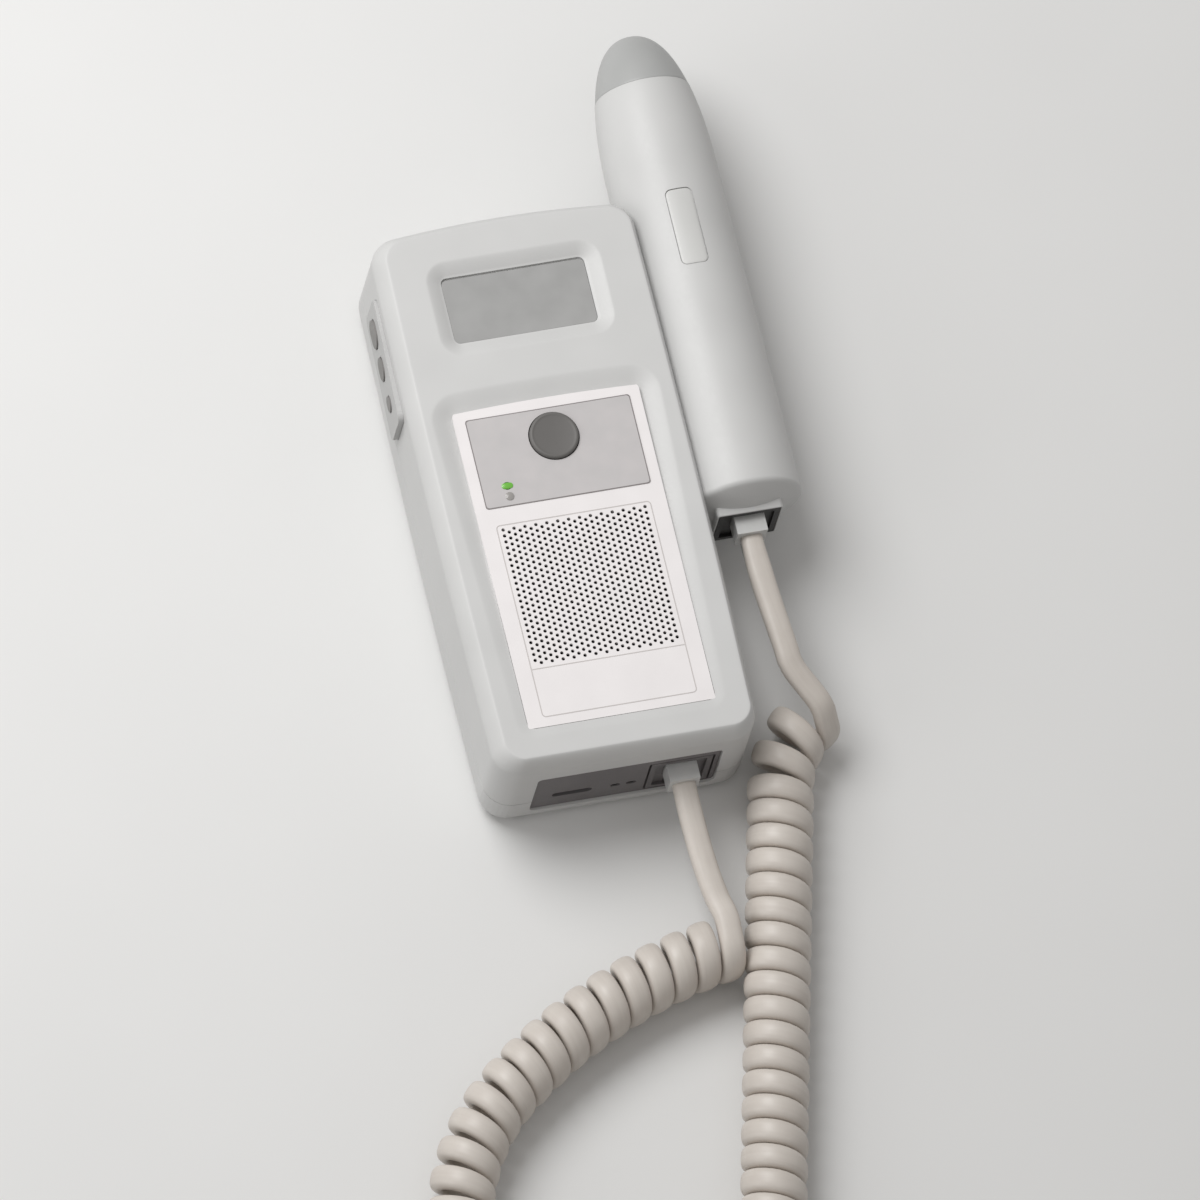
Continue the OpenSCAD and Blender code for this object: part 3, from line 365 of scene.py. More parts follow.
coil_ends = (curl_at(0)[0] - along_at(0) * 5.9, curl_at(coil_turns)[0] + along_at(coil_turns) * 5.9)


def lead(a, b, shares):
    return [a] + [a + (b - a) * np.array(s) for s in shares] + [b]


probe_lead = lead(probe_plug_back, coil_ends[0],
                  [(0.01, 0.12, 0.06), (0.05, 0.26, 0.13), (0.11, 0.39, 0.21), (0.19, 0.53, 0.28),
                   (0.27, 0.67, 0.36), (0.37, 0.79, 0.51)])
unit_lead = lead(unit_plug_back, coil_ends[1],
                 [(0, 0.15, 0.3), (0.07, 0.32, 0.9), (0.22, 0.52, 1.5), (0.41, 0.69, 1.8), (0.7, 0.86, 1.8)])


def smooth_through(points, step=1.5):
    points = np.array(points)
    padded = np.vstack([2 * points[0] - points[1], points, 2 * points[-1] - points[-2]])
    made = []
    for i in range(1, len(padded) - 2):
        p0, p1, p2, p3 = padded[i - 1:i + 3]
        count = max(2, int(np.linalg.norm(p2 - p1) / step))
        for k in range(count):
            u = k / count
            made.append(0.5 * (2 * p1 + (p2 - p0) * u + (2 * p0 - 5 * p1 + 4 * p2 - p3) * u * u
                               + (3 * p1 - p0 - 3 * p2 + p3) * u ** 3))
    return made + [padded[-2]]


INSIDE, ENTRY = 5.5, 0.62
curl_steps = np.linspace(0, coil_turns, round(coil_turns * STEPS) + 1)
coil_line = [curl_at(t) for t in curl_steps]
into_probe = [probe_plug_back + np.array([0, INSIDE * u, 0]) for u in (1, 0.5)]
into_unit = [unit_plug_back + np.array([0, INSIDE * u, 0]) for u in (0.5, 1)]
first_lead = smooth_through(probe_lead + [coil_line[0][0]])[:-1]
last_lead = smooth_through([coil_line[-1][0]] + unit_lead[::-1])[1:]
line = np.array(into_probe + first_lead + [p for p, _ in coil_line] + last_lead + into_unit)
up = np.array([0, 0, 1.0])
lead_in = len(into_probe) + len(first_lead)
blend_in = np.clip((np.arange(lead_in) - 12) / (lead_in - 12), 0, 1)[:, None]
out_first = up * (1 - blend_in) + coil_line[0][1] * blend_in
outward = np.vstack([out_first, [o for _, o in coil_line], np.tile(up, (len(last_lead) + 2, 1))])
squeeze = np.ones(len(line))
squeeze[:2], squeeze[-2:] = ENTRY, ENTRY
squeeze[2:8] = np.linspace(0.88, 1, 6)
squeeze[-8:-2] = np.linspace(1, 0.97, 6)
reach = np.concatenate([[0], np.cumsum(np.linalg.norm(np.diff(line, axis=0), axis=1))])
print("cord points", len(line), "length", round(reach[-1]), "mm")

# %% [markdown]
# A Geometry Nodes tree sweeps the oval along such a line. The flattened cable's section is a
# superellipse, which is fuller than an ellipse. The tree takes the width, the thickness and the
# fullness as inputs, and reads the outward direction and the squeeze that the line carries.

# %% A tree that sweeps an oval cable along a line
sweep = bpy.data.node_groups.new("oval_cable_sweep", "GeometryNodeTree")
for label, kind in (("Geometry", "Geometry"), ("Width", "Float"), ("Thickness", "Float"),
                    ("Fullness", "Float"), ("Sides", "Int"), ("Material", "Material")):
    sweep.interface.new_socket(label, in_out="INPUT", socket_type="NodeSocket" + kind)
sweep.interface.new_socket("Geometry", in_out="OUTPUT", socket_type="NodeSocketGeometry")
given = add(sweep, "NodeGroupInput", out=None).outputs
rail = add(sweep, "GeometryNodeMeshToCurve", {"Mesh": given["Geometry"]})
facing = add(sweep, "GeometryNodeInputNamedAttribute", {"Name": "outward"}, data_type="FLOAT_VECTOR")
pinch = add(sweep, "GeometryNodeInputNamedAttribute", {"Name": "squeeze"}, data_type="FLOAT")
led = add(sweep, "GeometryNodeSetCurveNormal", {"Curve": rail, "Normal": facing}, mode="FREE")
circle = add(sweep, "GeometryNodeCurvePrimitiveCircle", {"Resolution": given["Sides"], "Radius": 1.0})
parts = add(sweep, "ShaderNodeSeparateXYZ", {0: add(sweep, "GeometryNodeInputPosition")}, None).outputs
power = add(sweep, "ShaderNodeMath", {0: 2.0, 1: given["Fullness"]}, operation="DIVIDE")
shaped = []
for part, size in ((parts[0], given["Thickness"]), (parts[1], given["Width"])):
    away = add(sweep, "ShaderNodeMath", {0: part}, operation="ABSOLUTE")
    grown = add(sweep, "ShaderNodeMath", {0: away, 1: power}, operation="POWER")
    way = add(sweep, "ShaderNodeMath", {0: part}, operation="SIGN")
    signed = add(sweep, "ShaderNodeMath", {0: grown, 1: way}, operation="MULTIPLY")
    half = add(sweep, "ShaderNodeMath", {0: size, 1: 0.5}, operation="MULTIPLY")
    shaped.append(add(sweep, "ShaderNodeMath", {0: signed, 1: half}, operation="MULTIPLY"))
oval_at = add(sweep, "ShaderNodeCombineXYZ", {0: shaped[0], 1: shaped[1]})
oval = add(sweep, "GeometryNodeSetPosition", {"Geometry": circle, "Position": oval_at})
cable = add(sweep, "GeometryNodeCurveToMesh",
            {"Curve": led, "Profile Curve": oval, "Scale": pinch, "Fill Caps": True})
soft = add(sweep, "GeometryNodeSetShadeSmooth", {"Geometry": cable})
real = add(sweep, "GeometryNodeRealizeInstances", {"Geometry": soft})
dressed = add(sweep, "GeometryNodeSetMaterial", {"Geometry": real, "Material": given["Material"]})
add(sweep, "NodeGroupOutput", {"Geometry": dressed}, None)
print("tree", sweep.name, "nodes", len(sweep.nodes))

# %% [markdown]
# The tree runs as a modifier. Its inputs are set before the object is first evaluated, and then
# the result is copied to a plain mesh, which is what the finished piece keeps.

# %% Run a tree and keep its mesh


def plain(name, mesh, tree, inputs):
    carrier = bpy.data.objects.new(name + "_carrier", mesh)
    bpy.context.scene.collection.objects.link(carrier)
    modifier = carrier.modifiers.new(name, "NODES")
    modifier.node_group = tree
    for item in tree.interface.items_tree:
        if item.in_out == "INPUT" and item.name in inputs:
            modifier[item.identifier] = inputs[item.name]
    bpy.context.view_layer.update()
    ready = carrier.evaluated_get(bpy.context.evaluated_depsgraph_get())
    made = bpy.data.meshes.new_from_object(ready)
    bpy.data.objects.remove(carrier)
    piece = bpy.data.objects.new(name, made)
    bpy.context.scene.collection.objects.link(piece)
    print(name, len(made.polygons), "faces")
    return piece


def polyline(name, points, attributes):
    mesh = bpy.data.meshes.new(name)
    mesh.from_pydata([tuple(p) for p in points], [(i, i + 1) for i in range(len(points) - 1)], [])
    for key, (kind, values) in attributes.items():
        held = mesh.attributes.new(key, kind, "POINT")
        held.data.foreach_set("vector" if kind == "FLOAT_VECTOR" else "value",
                              np.asarray(values, np.float32).ravel())
    return mesh


SIDES, FULLNESS = 20, 2.7
JACKET_ROUND = 0.017


def cord_piece(name, low, high):
    part = slice(low, high)
    rail_mesh = polyline(name, placed(line[part]),
                         {"outward": ("FLOAT_VECTOR", outward[part]), "squeeze": ("FLOAT", squeeze[part])})
    piece = plain(name, rail_mesh, sweep, {
        "Width": CORD_W / 1000, "Thickness": CORD_T / 1000, "Fullness": FULLNESS, "Sides": SIDES,
        "Material": finish["cord"]})
    mesh = piece.data
    chart = mesh.uv_layers.new(name="jacket")
    ids = np.empty(len(mesh.loops), int)
    mesh.loops.foreach_get("vertex_index", ids)
    ring, side = ids // SIDES, ids % SIDES
    first = np.array([mesh.loops[p.loop_start].vertex_index % SIDES for p in mesh.polygons])
    loops_of = np.repeat(first, [p.loop_total for p in mesh.polygons])
    wrapped = np.where((side == 0) & (loops_of == SIDES - 1), SIDES, side)
    spread = np.column_stack([wrapped / SIDES * JACKET_ROUND, reach[part][ring] / 1000])
    chart.uv.foreach_set("vector", spread.astype(np.float32).ravel())
    return piece


PROBE_CURLS = 4.6
split = lead_in + int(PROBE_CURLS * STEPS)
probe_end = cord_piece("cord_probe_end", 0, split + 1)
main_cord = cord_piece("cord_main", split, len(line))
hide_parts("cord_coil", "cord_lead_unit")
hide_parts("cord_lead_probe")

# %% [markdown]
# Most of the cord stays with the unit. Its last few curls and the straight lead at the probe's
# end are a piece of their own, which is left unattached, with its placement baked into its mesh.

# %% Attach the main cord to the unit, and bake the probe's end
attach(main_cord, "unit")
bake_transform(probe_end)
print("cord lengths", round(reach[split]), round(reach[-1] - reach[split]), "mm")

# %% [markdown]
# ## Front shell
# The front half of the case is one ABS moulding with soft dishes round the display and round the
# label. The CAD shell has the right sizes but plain sloping dishes. Here the outside is laid out in
# rows, like the hoops of a barrel, and the face is a triangulated sheet whose height is a formula.
# Both share their edge points, so together they close into one solid. The two sides and the top
# end bow out a little, and the bottom end is flat.

# %% Columns of points round the case
HALF_W, UNIT_L, SIDE_BOW, TOP_BOW = 34, 146, 0.6, 1.2
CORNER_X, CORNER_LOW, CORNER_TOP, CORNER_R = 26.4, 7, 137.8, 7
SIDE_MID, SIDE_HALF = 72.4, 65.4
BED_X, BED_Z, BED_R, BED_FROM = 45.0, 22.5, 15.4, 57.4
SEAM, FACE, INNER_FACE, PLATE_SEAT, GLASS_SEAT, WALL = 11.5, 35.5, 32.1, 34.7, 32.9, 2.2


def corner_columns(cx, cy, first, steps):
    angles = np.radians(np.linspace(first, first + 90, steps + 1))
    normals = np.column_stack([np.cos(angles), np.sin(angles)])
    return np.array([cx, cy]) + CORNER_R * normals, normals


def side_columns(ys, side):
    t = (ys - SIDE_MID) / SIDE_HALF
    points = np.column_stack([side * (HALF_W - SIDE_BOW * t ** 2), ys])
    normals = np.column_stack([side * np.ones(len(ys)), 2 * SIDE_BOW * t / SIDE_HALF])
    return points, normals / np.linalg.norm(normals, axis=1)[:, None]


def top_columns(xs):
    points = np.column_stack([xs, UNIT_L - TOP_BOW * (xs / CORNER_X) ** 2])
    normals = np.column_stack([2 * TOP_BOW * xs / CORNER_X ** 2, np.ones(len(xs))])
    return points, normals / np.linalg.norm(normals, axis=1)[:, None]


def bottom_columns(xs):
    return np.column_stack([xs, 0 * xs]), np.column_stack([0 * xs, -np.ones(len(xs))])


right_ys = np.concatenate([np.linspace(8.5, 53.4, 24), [BED_FROM, BED_FROM], np.linspace(59.4, 136.4, 39)])
stretches = [
    bottom_columns(np.linspace(-25, 25, 26)), corner_columns(CORNER_X, CORNER_LOW, -90, 16),
    side_columns(right_ys, 1), corner_columns(CORNER_X, CORNER_TOP, 0, 32),
    top_columns(np.linspace(25, -25, 26)), corner_columns(-CORNER_X, CORNER_TOP, 90, 16),
    side_columns(np.linspace(136, 9, 64), -1), corner_columns(-CORNER_X, CORNER_LOW, 180, 16)]
rim_points = np.vstack([s[0] for s in stretches])
rim_normals = np.vstack([s[1] for s in stretches])
# One column is doubled, so that the bed can start with a step there.
BED_COLUMNS = 80
doubled = int(np.nonzero(rim_points[:, 1] == BED_FROM)[0][1])
in_bed = np.zeros(len(rim_points), bool)
in_bed[doubled:doubled + BED_COLUMNS] = True
print("columns", len(rim_points))

# %% [markdown]
# A row is the outline drawn in by some amount at one height. Where the probe lies, the row is also
# kept clear of a cylinder, which cuts the long bed into the right side. The top rows follow a
# superellipse, so the edge is rounder at the left and at the ends than at the right.

# %% Rows of the outside and of the inside
EDGE_DOWN, EDGE_POWER = 5.0, 1.4
EDGE_IN = 1.7 + 1.3 * np.clip(-rim_normals[:, 0], 0, 1) + 0.8 * np.abs(rim_normals[:, 1])


def row(z, inset, bed_r=BED_R, end_extra=0.0, share=0.0):
    inward = inset + share * EDGE_IN + end_extra * np.clip(-rim_normals[:, 1], 0, 1)
    points = rim_points - rim_normals * inward[:, None]
    across_bed = bed_r ** 2 - (z - BED_Z) ** 2
    if across_bed > 0:
        limit = BED_X - math.sqrt(across_bed)
        points[in_bed, 0] = np.minimum(points[in_bed, 0], limit)
    if bed_r > BED_R:
        points[doubled - 1:doubled + 1, 1] = BED_FROM - (bed_r - BED_R)
    return np.column_stack([points, np.full(len(points), z)])


turn = np.radians(np.linspace(0, 90, 25))
levels = [(SEAM, 0.3), (11.65, 0.08), (11.8, 0.0)] + [(z, 0.0) for z in np.arange(12.05, 13.3, 0.25)]
levels += [(z, 0.0) for z in np.linspace(14, FACE - EDGE_DOWN - 0.8, 18)]
outer_rows = [row(z, inset) for z, inset in levels]
outer_rows += [row(FACE - EDGE_DOWN * (1 - math.sin(a) ** (2 / EDGE_POWER)), 0.0,
                   share=1 - max(math.cos(a), 0) ** (2 / EDGE_POWER)) for a in turn]
inner_rows = [row(z, WALL, BED_R + WALL, 1.2) for z in np.linspace(INNER_FACE, SEAM, 16)]
print("rows outside", len(outer_rows), "inside", len(inner_rows))

# %% [markdown]
# The face's height follows two smooth steps: one round the display, one round the label. Each is a
# function of the distance from a rounded rectangle, so its contours are perfectly even. The
# label's top edge is a shallow arch, which `arched` bends into a straight outline, or out of it.

# %% Height of the face
PLATE_MID, PLATE_SIZE, PLATE_R = (0, 52.75), (47.64, 85.74), 1.8
DISH_MID, DISH_SIZE, DISH_R, DISH_DEEP, DISH_WIDE = (0.15, 122.45), (37.0, 18.1), 1.9, 1.75, 3.7
ARCH_RISE, ARCH_HALF, ARCH_FROM, ARCH_FULL = 0.6, 23.7, 60, 90


def outside_box(points, middle, size, r):
    q = np.abs(points - np.array(middle)) - np.array(size) / 2 + r
    return np.linalg.norm(np.maximum(q, 0), axis=1) + np.minimum(q.max(axis=1), 0) - r


def arched(points, way=-1):
    part_way = np.clip((points[:, 1] - ARCH_FROM) / (ARCH_FULL - ARCH_FROM), 0, 1)
    lift = ARCH_RISE * (points[:, 0] / ARCH_HALF) ** 2 * part_way
    return np.column_stack([points[:, 0], points[:, 1] + way * lift])


def face_height(points):
    d = outside_box(points, DISH_MID, DISH_SIZE, DISH_R)
    dish = DISH_DEEP * (1 - np.clip(d / DISH_WIDE, 0, 1)) ** 1.3
    e = outside_box(arched(points, 1), PLATE_MID, PLATE_SIZE, PLATE_R)
    up = np.clip((points[:, 1] - 4) / 92, 0, 1)
    sunk = (0.2 + 1.5 * up ** 1.4) * (1 - np.clip((e - 0.1) / (2.2 + 3.0 * up), 0, 1)) ** 1.25
    return FACE - dish - sunk


print("lowest and highest", face_height(np.array([[19, 122.0], [0, 146.0]])))

# %% [markdown]
# Every opening starts as a loop of points: a rounded rectangle, a circle or a slot. A rectangle's
# loop keeps its number of points when it grows or shrinks, so a wall can join the two.

# %% Loops round the openings


def box_loop(middle, size, r, grow=0.0, step=0.9):
    w, l, r = size[0] + 2 * grow, size[1] + 2 * grow, r + grow
    made = []
    for k, (sx, sy) in enumerate(((1, -1), (1, 1), (-1, 1), (-1, -1))):
        a = math.radians(90 * k - 90)
        corner = (middle[0] + sx * (w / 2 - r), middle[1] + sy * (l / 2 - r))
        angles = a + np.radians(np.linspace(0, 90, 9))
        made.append(np.column_stack([corner[0] + r * np.cos(angles), corner[1] + r * np.sin(angles)]))
        run = (l if k % 2 == 0 else w) - 2 * r
        many = max(1, round((size[1] if k % 2 == 0 else size[0]) / step))
        u = np.linspace(0, 1, many + 1)[1:-1, None]
        way = np.array([(0, 1), (-1, 0), (0, -1), (1, 0)][k]) * run
        made.append(made[-1][-1] + u * way)
    return np.vstack(made)


def round_loop(x, y, d, steps=48):
    a = np.radians(np.arange(steps) * 360 / steps)
    return np.column_stack([x + d / 2 * np.cos(a), y + d / 2 * np.sin(a)])


def slot_loop(middle, l, w, steps=24):
    a = np.radians(np.linspace(-90, 90, steps + 1))
    right = np.column_stack([(l - w) / 2 + w / 2 * np.cos(a), w / 2 * np.sin(a)])
    return np.vstack([right, -right]) + np.array(middle)


def at(loop, z):
    return np.column_stack([loop, np.full(len(loop), z) if np.isscalar(z) else z])


BUTTON_Y, LIGHTS_X, GREY_Y, GREEN_Y = 85.0, -14.4, 71.2, 74.0
WINDOW_MID, WINDOW_SIZE = (0.05, 122.49), (36.46, 17.64)
window_loop, window_ledge = [box_loop(WINDOW_MID, WINDOW_SIZE, 1.5, g) for g in (0.0, -1.4)]
plate_loop = arched(box_loop(PLATE_MID, PLATE_SIZE, PLATE_R))
through = [round_loop(0, BUTTON_Y, 12.8, 64), round_loop(LIGHTS_X, GREY_Y, 2.1, 24),
           round_loop(LIGHTS_X, GREEN_Y, 2.1, 24), box_loop((0, 44.4), (38.4, 38.4), 2, step=2.5)]
print("loop points", len(window_loop), len(plate_loop), [len(l) for l in through])

# %% [markdown]
# `delaunay_2d_cdt` fills the face between these loops with triangles and keeps the loops as edges.
# Extra rings of points follow the slopes, and only triangles inside the wanted area are kept.

# %% A triangulated sheet with holes


def inside(loop, points):
    x, y = points[:, 0], points[:, 1]
    hit = np.zeros(len(points), bool)
    for (ax, ay), (bx, by) in zip(loop, np.roll(loop, -1, axis=0)):
        crosses = (ay > y) != (by > y)
        if crosses.any():
            hit ^= crosses & (x < (bx - ax) * (y - ay) / ((by - ay) or 1e-12) + ax)
    return hit


def sheet(border, holes, rings, height):
    loops = [border] + holes
    flat, edges = [], []
    for loop in loops + rings:
        base = sum(len(f) for f in flat)
        flat.append(loop)
        edges += [(base + i, base + (i + 1) % len(loop)) for i in range(len(loop))]
    points = np.vstack(flat)
    out = delaunay_2d_cdt([Vector(p) for p in points], edges, [], 0, 1e-6)
    made = np.array([tuple(v) for v in out[0]])
    corners = np.array([f for f in out[2]])
    middles = made[corners].mean(axis=1)
    keep = inside(border, middles)
    for hole in holes:
        keep &= ~inside(hole, middles)
    z = height(made) if callable(height) else np.full(len(made), height)
    return np.column_stack([made, z]), corners[keep]


face_border = outer_rows[-1][:, :2]
guard = rim_points - rim_normals * (EDGE_IN + 0.5)[:, None]
slopes = [box_loop(DISH_MID, DISH_SIZE, DISH_R, g) for g in np.arange(0.25, 4.3, 0.25)]
hollow = []
for g in np.arange(0.3, 5.9, 0.35):
    ring = arched(box_loop(PLATE_MID, PLATE_SIZE, PLATE_R, g, 1.6))
    if inside(guard, ring).all():
        hollow.append(ring)
face_sheet = sheet(face_border, [window_loop, plate_loop], [guard] + slopes + hollow, face_height)
seat_sheet = sheet(plate_loop, through, [], PLATE_SEAT)
ceiling_sheet = sheet(inner_rows[0][:, :2], [window_ledge] + through, [], INNER_FACE)
print("triangles", len(face_sheet[1]), len(seat_sheet[1]), len(ceiling_sheet[1]))

# %% [markdown]
# Everything now goes into one mesh: rows are joined to their neighbours by quads, loops by walls,
# and shared points are merged. A closed solid has exactly two faces at each edge, which is counted.

# %% Join rows, sheets and walls into one solid
SHARP = math.radians(35)


def soften(mesh):
    mesh.shade_smooth()
    mesh.set_sharp_from_angle(angle=SHARP)


class Maker:
    def __init__(self):
        self.points, self.faces = [], []

    def add(self, points, faces):
        base = sum(len(p) for p in self.points)
        self.points.append(np.asarray(points, float))
        self.faces += [tuple(base + i for i in f) for f in faces]

    def bands(self, rows):
        for first, second in zip(rows, rows[1:]):
            n = len(first)
            quads = [(i, (i + 1) % n, n + (i + 1) % n, n + i) for i in range(n)]
            self.add(np.vstack([first, second]), quads)

    def lid(self, loop):
        self.add(loop, [tuple(range(len(loop)))])

    def mesh(self, name, merge=0.004):
        shape = bmesh.new()
        mesh = bpy.data.meshes.new(name)
        mesh.from_pydata([tuple(p) for p in placed(np.vstack(self.points))], [], self.faces)
        shape.from_mesh(mesh)
        bmesh.ops.remove_doubles(shape, verts=shape.verts, dist=merge / 1000)
        bmesh.ops.dissolve_degenerate(shape, dist=merge / 4000, edges=shape.edges)
        bmesh.ops.recalc_face_normals(shape, faces=shape.faces)
        open_edges = sum(len(e.link_faces) != 2 for e in shape.edges)
        shape.to_mesh(mesh)
        shape.free()
        soften(mesh)
        print(name, "faces", len(mesh.polygons), "open edges", open_edges)
        return mesh


def piece_of(name, mesh, *finishes):
    piece = bpy.data.objects.new(name, mesh)
    bpy.context.scene.collection.objects.link(piece)
    for key in finishes:
        mesh.materials.append(finish[key])
    return piece


shell = Maker()
shell.bands(outer_rows)
shell.bands(inner_rows)
shell.bands([inner_rows[-1], outer_rows[0]])
for sheet_points, triangles in (face_sheet, seat_sheet, ceiling_sheet):
    shell.add(sheet_points, triangles)
shell.bands([at(window_loop, face_height(window_loop)), at(window_loop, GLASS_SEAT),
             at(window_ledge, GLASS_SEAT), at(window_ledge, INNER_FACE)])
shell.bands([at(plate_loop, face_height(plate_loop)), at(plate_loop, PLATE_SEAT)])
for loop in through:
    shell.bands([at(loop, PLATE_SEAT), at(loop, INNER_FACE)])
front_shell = piece_of("front_case", shell.mesh("front_case"), "case_plastic")

# %% [markdown]
# The ports and the keys need openings through the walls. Each is a small closed block, and a
# Boolean modifier takes it away. Its exact solver copes with walls that cross many faces. A block
# is a flat loop drawn out along one axis, and `facing_out` lays such a loop across that axis.

# %% Openings of the ports and the keys


def facing_out(loop, axis, depth):
    return np.insert(loop, "xyz".index(axis), depth, axis=1)


def add_block(maker, loop, axis, low, high):
    ends = [facing_out(loop, axis, depth) for depth in (low, high)]
    maker.bands(ends)
    for end in ends:
        maker.lid(end)


def cut(piece, maker, name, operation="DIFFERENCE"):
    tool = piece_of(name, maker.mesh(name))
    modifier = piece.modifiers.new(name, "BOOLEAN")
    modifier.operation, modifier.solver, modifier.object = operation, "EXACT", tool
    bpy.context.view_layer.update()
    ready = piece.evaluated_get(bpy.context.evaluated_depsgraph_get())
    made = bpy.data.meshes.new_from_object(ready)
    piece.modifiers.clear()
    piece.data = made
    bpy.data.objects.remove(tool)
    soften(made)
    print(name, "leaves", len(made.polygons), "faces")


PORT_MID, JACK_MID, SOCKET_MID, PORT_Z = (1.2, 15.7), (15, 14.2), (-12, 12.5), 12.5
CHARGE_LIGHTS_X = (-1, 3)
PAD_MID, PAD_Z = (115, 21), 21
KEYS = [(105.93, 3.6, 4.0), (115.33, 4.8, 5.9), (124.73, 5.8, 7.3)]
seat = Maker()
add_block(seat, box_loop(PORT_MID, (47.0, 19.7), 1.2), "y", -2, 1.8)
cut(front_shell, seat, "port_seat")
ports = Maker()
add_block(ports, box_loop(JACK_MID, (16.8, 15.9), 0.5), "y", 1, 4.6)
add_block(ports, box_loop(SOCKET_MID, (10.4, 4.4), 1), "y", 1, 4.6)
for x in CHARGE_LIGHTS_X:
    add_block(ports, round_loop(x, PORT_Z, 2.2, 24), "y", 1, 4.6)
cut(front_shell, ports, "port_openings")
pad = Maker()
add_block(pad, box_loop(PAD_MID, (33.3, 14.3), 2), "x", -39, -33.1)
cut(front_shell, pad, "key_pad_seat")
keys = Maker()
for y, w, l in KEYS:
    add_block(keys, slot_loop((y, PAD_Z), l + 0.5, w + 0.5), "x", -34, -29)
cut(front_shell, keys, "key_openings")
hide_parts("front_shell")
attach(front_shell, "unit")

# %% [markdown]
# ## Probe
# The probe's body is two half shells over a hidden jack, and an acoustic cap closes its nose. Each
# is a turned shape, like work from a lathe: a half outline is swept round the axis. The outline's
# radius is a formula, so the nose stays perfectly smooth. Its cord end is a shallow dome.

# %% Outline of the probe
PROBE_X, PROBE_Z, TIP_Y, CAP_L = 45.0, 22.5, 190.4, 15.5
NOSE_R, NOSE_L, NOSE_POWER, END_R, LONG = 14.0, 40.0, 2.4, 15.0, 131.0


def probe_radius(u):
    u = np.asarray(u, float)
    nose = NOSE_R * (1 - np.clip((NOSE_L - u) / NOSE_L, 0, 1) ** NOSE_POWER) ** (1 / NOSE_POWER)
    return np.where(u < NOSE_L, nose, NOSE_R + (END_R - NOSE_R) * (u - NOSE_L) / (LONG - NOSE_L))


def dome_u(r):
    return LONG - 0.4 - r ** 2 / 52


def rounded(first, corner, last, steps=8):
    t = np.linspace(0, 1, steps + 1)[:, None]
    return (1 - t) ** 2 * np.array(first) + 2 * t * (1 - t) * np.array(corner) + t ** 2 * np.array(last)


print("radius at the cap's seam", probe_radius(CAP_L), "at the end", probe_radius(LONG))

# %% [markdown]
# `turned` sweeps such an outline round an axis. Near the two sides the body's radius dips by a
# tenth of a millimetre, which draws the seam of its halves as a fine groove.

# %% Turned shapes


def turned(maker, outline, place, angles):
    columns = [place(outline[:, 0], outline[:, 1], a) for a in np.radians(angles)]
    n = len(outline)
    quads = [(i, i + 1, n + i + 1, n + i) for i in range(n - 1)]
    for one, two in zip(columns, columns[1:]):
        maker.add(np.vstack([one, two]), quads)


def on_probe(r, u, a):
    r = r - np.exp(-(math.sin(a) / 0.012) ** 2) * 0.1 * np.clip(r - 9, 0, 1)
    return np.column_stack([PROBE_X + r * math.cos(a), TIP_Y - u, PROBE_Z + r * math.sin(a)])


half_turn = np.concatenate([[0, 0.7, 1.6], np.linspace(3.6, 176.4, 46), [178.4, 179.3]])
full_turn = np.concatenate([half_turn, half_turn + 180, [360]])
seam_r = float(probe_radius(CAP_L))
side_u = np.concatenate([np.linspace(CAP_L + 0.25, NOSE_L, 28), np.linspace(44, 125.3, 12)])
side = np.column_stack([probe_radius(side_u), side_u])
wall_u = side_u[side_u > CAP_L + 4][::-1]
body_outline = np.vstack([
    np.column_stack([np.linspace(0, 13.9, 13), dome_u(np.linspace(0, 13.9, 13))]),
    rounded((13.9, dome_u(13.9)), (14.97, 126.3), (14.95, 125.3))[1:-1],
    side[::-1],
    rounded((seam_r, CAP_L + 0.2), (seam_r, CAP_L), (seam_r - 0.2, CAP_L), 4),
    [(seam_r - 1.2, CAP_L), (seam_r - 1.2, CAP_L + 4)],
    np.column_stack([probe_radius(wall_u[::-1]) - 2, wall_u[::-1]]),
    [(12.6, 124.4), (0, 128.2)]])
body = Maker()
turned(body, body_outline, on_probe, full_turn)
probe_body = piece_of("probe_body", body.mesh("probe_body"), "probe_plastic")

# %% [markdown]
# A block with a softened lip stands round the jack's mouth. It is joined on, the mouth and the
# badge's seat are cut, and then the body is cut in two along its seam.

# %% Block, mouth, badge seat and the two halves
BADGE_MID, BADGE_SIZE, BADGE_R, BADGE_FLOOR = (PROBE_X, 133.7), (6.7, 20.2), 1.5, 35.78
MOUTH_MID = (PROBE_X, 20.8)
lip = Maker()
lip_rows = [facing_out(box_loop(MOUTH_MID, (16.8, 16.2), 1.0, g), "y", y)
            for g, y in ((-0.3, 59.4), (-0.1, 59.46), (0.0, 59.7), (0.0, 62.4))]
lip.bands(lip_rows)
lip.lid(lip_rows[0])
lip.lid(lip_rows[-1])
cut(probe_body, lip, "probe_lip", "UNION")
mouth = Maker()
add_block(mouth, box_loop(MOUTH_MID, (15.9, 15.3), 0.4), "y", 57, 77)
add_block(mouth, box_loop(BADGE_MID, (7.0, 20.5), 1.6), "z", BADGE_FLOOR, 41)
cut(probe_body, mouth, "probe_mouth_and_badge_seat")
halves = []
for name, low, high in (("probe_front_half", -5, PROBE_Z), ("probe_rear_half", PROBE_Z, 60)):
    half = piece_of(name, probe_body.data.copy())
    away = Maker()
    add_block(away, box_loop((PROBE_X, 120), (60, 160), 1, step=20), "z", low, high)
    cut(half, away, name + "_cut")
    halves.append(half)
bpy.data.objects.remove(probe_body)
rests = Maker()
for u in (50, 84):
    add_block(rests, box_loop((PROBE_X, TIP_Y - u + 0.8), (16, 1.6), 0.1, step=4), "z", 10.4, 18.5)
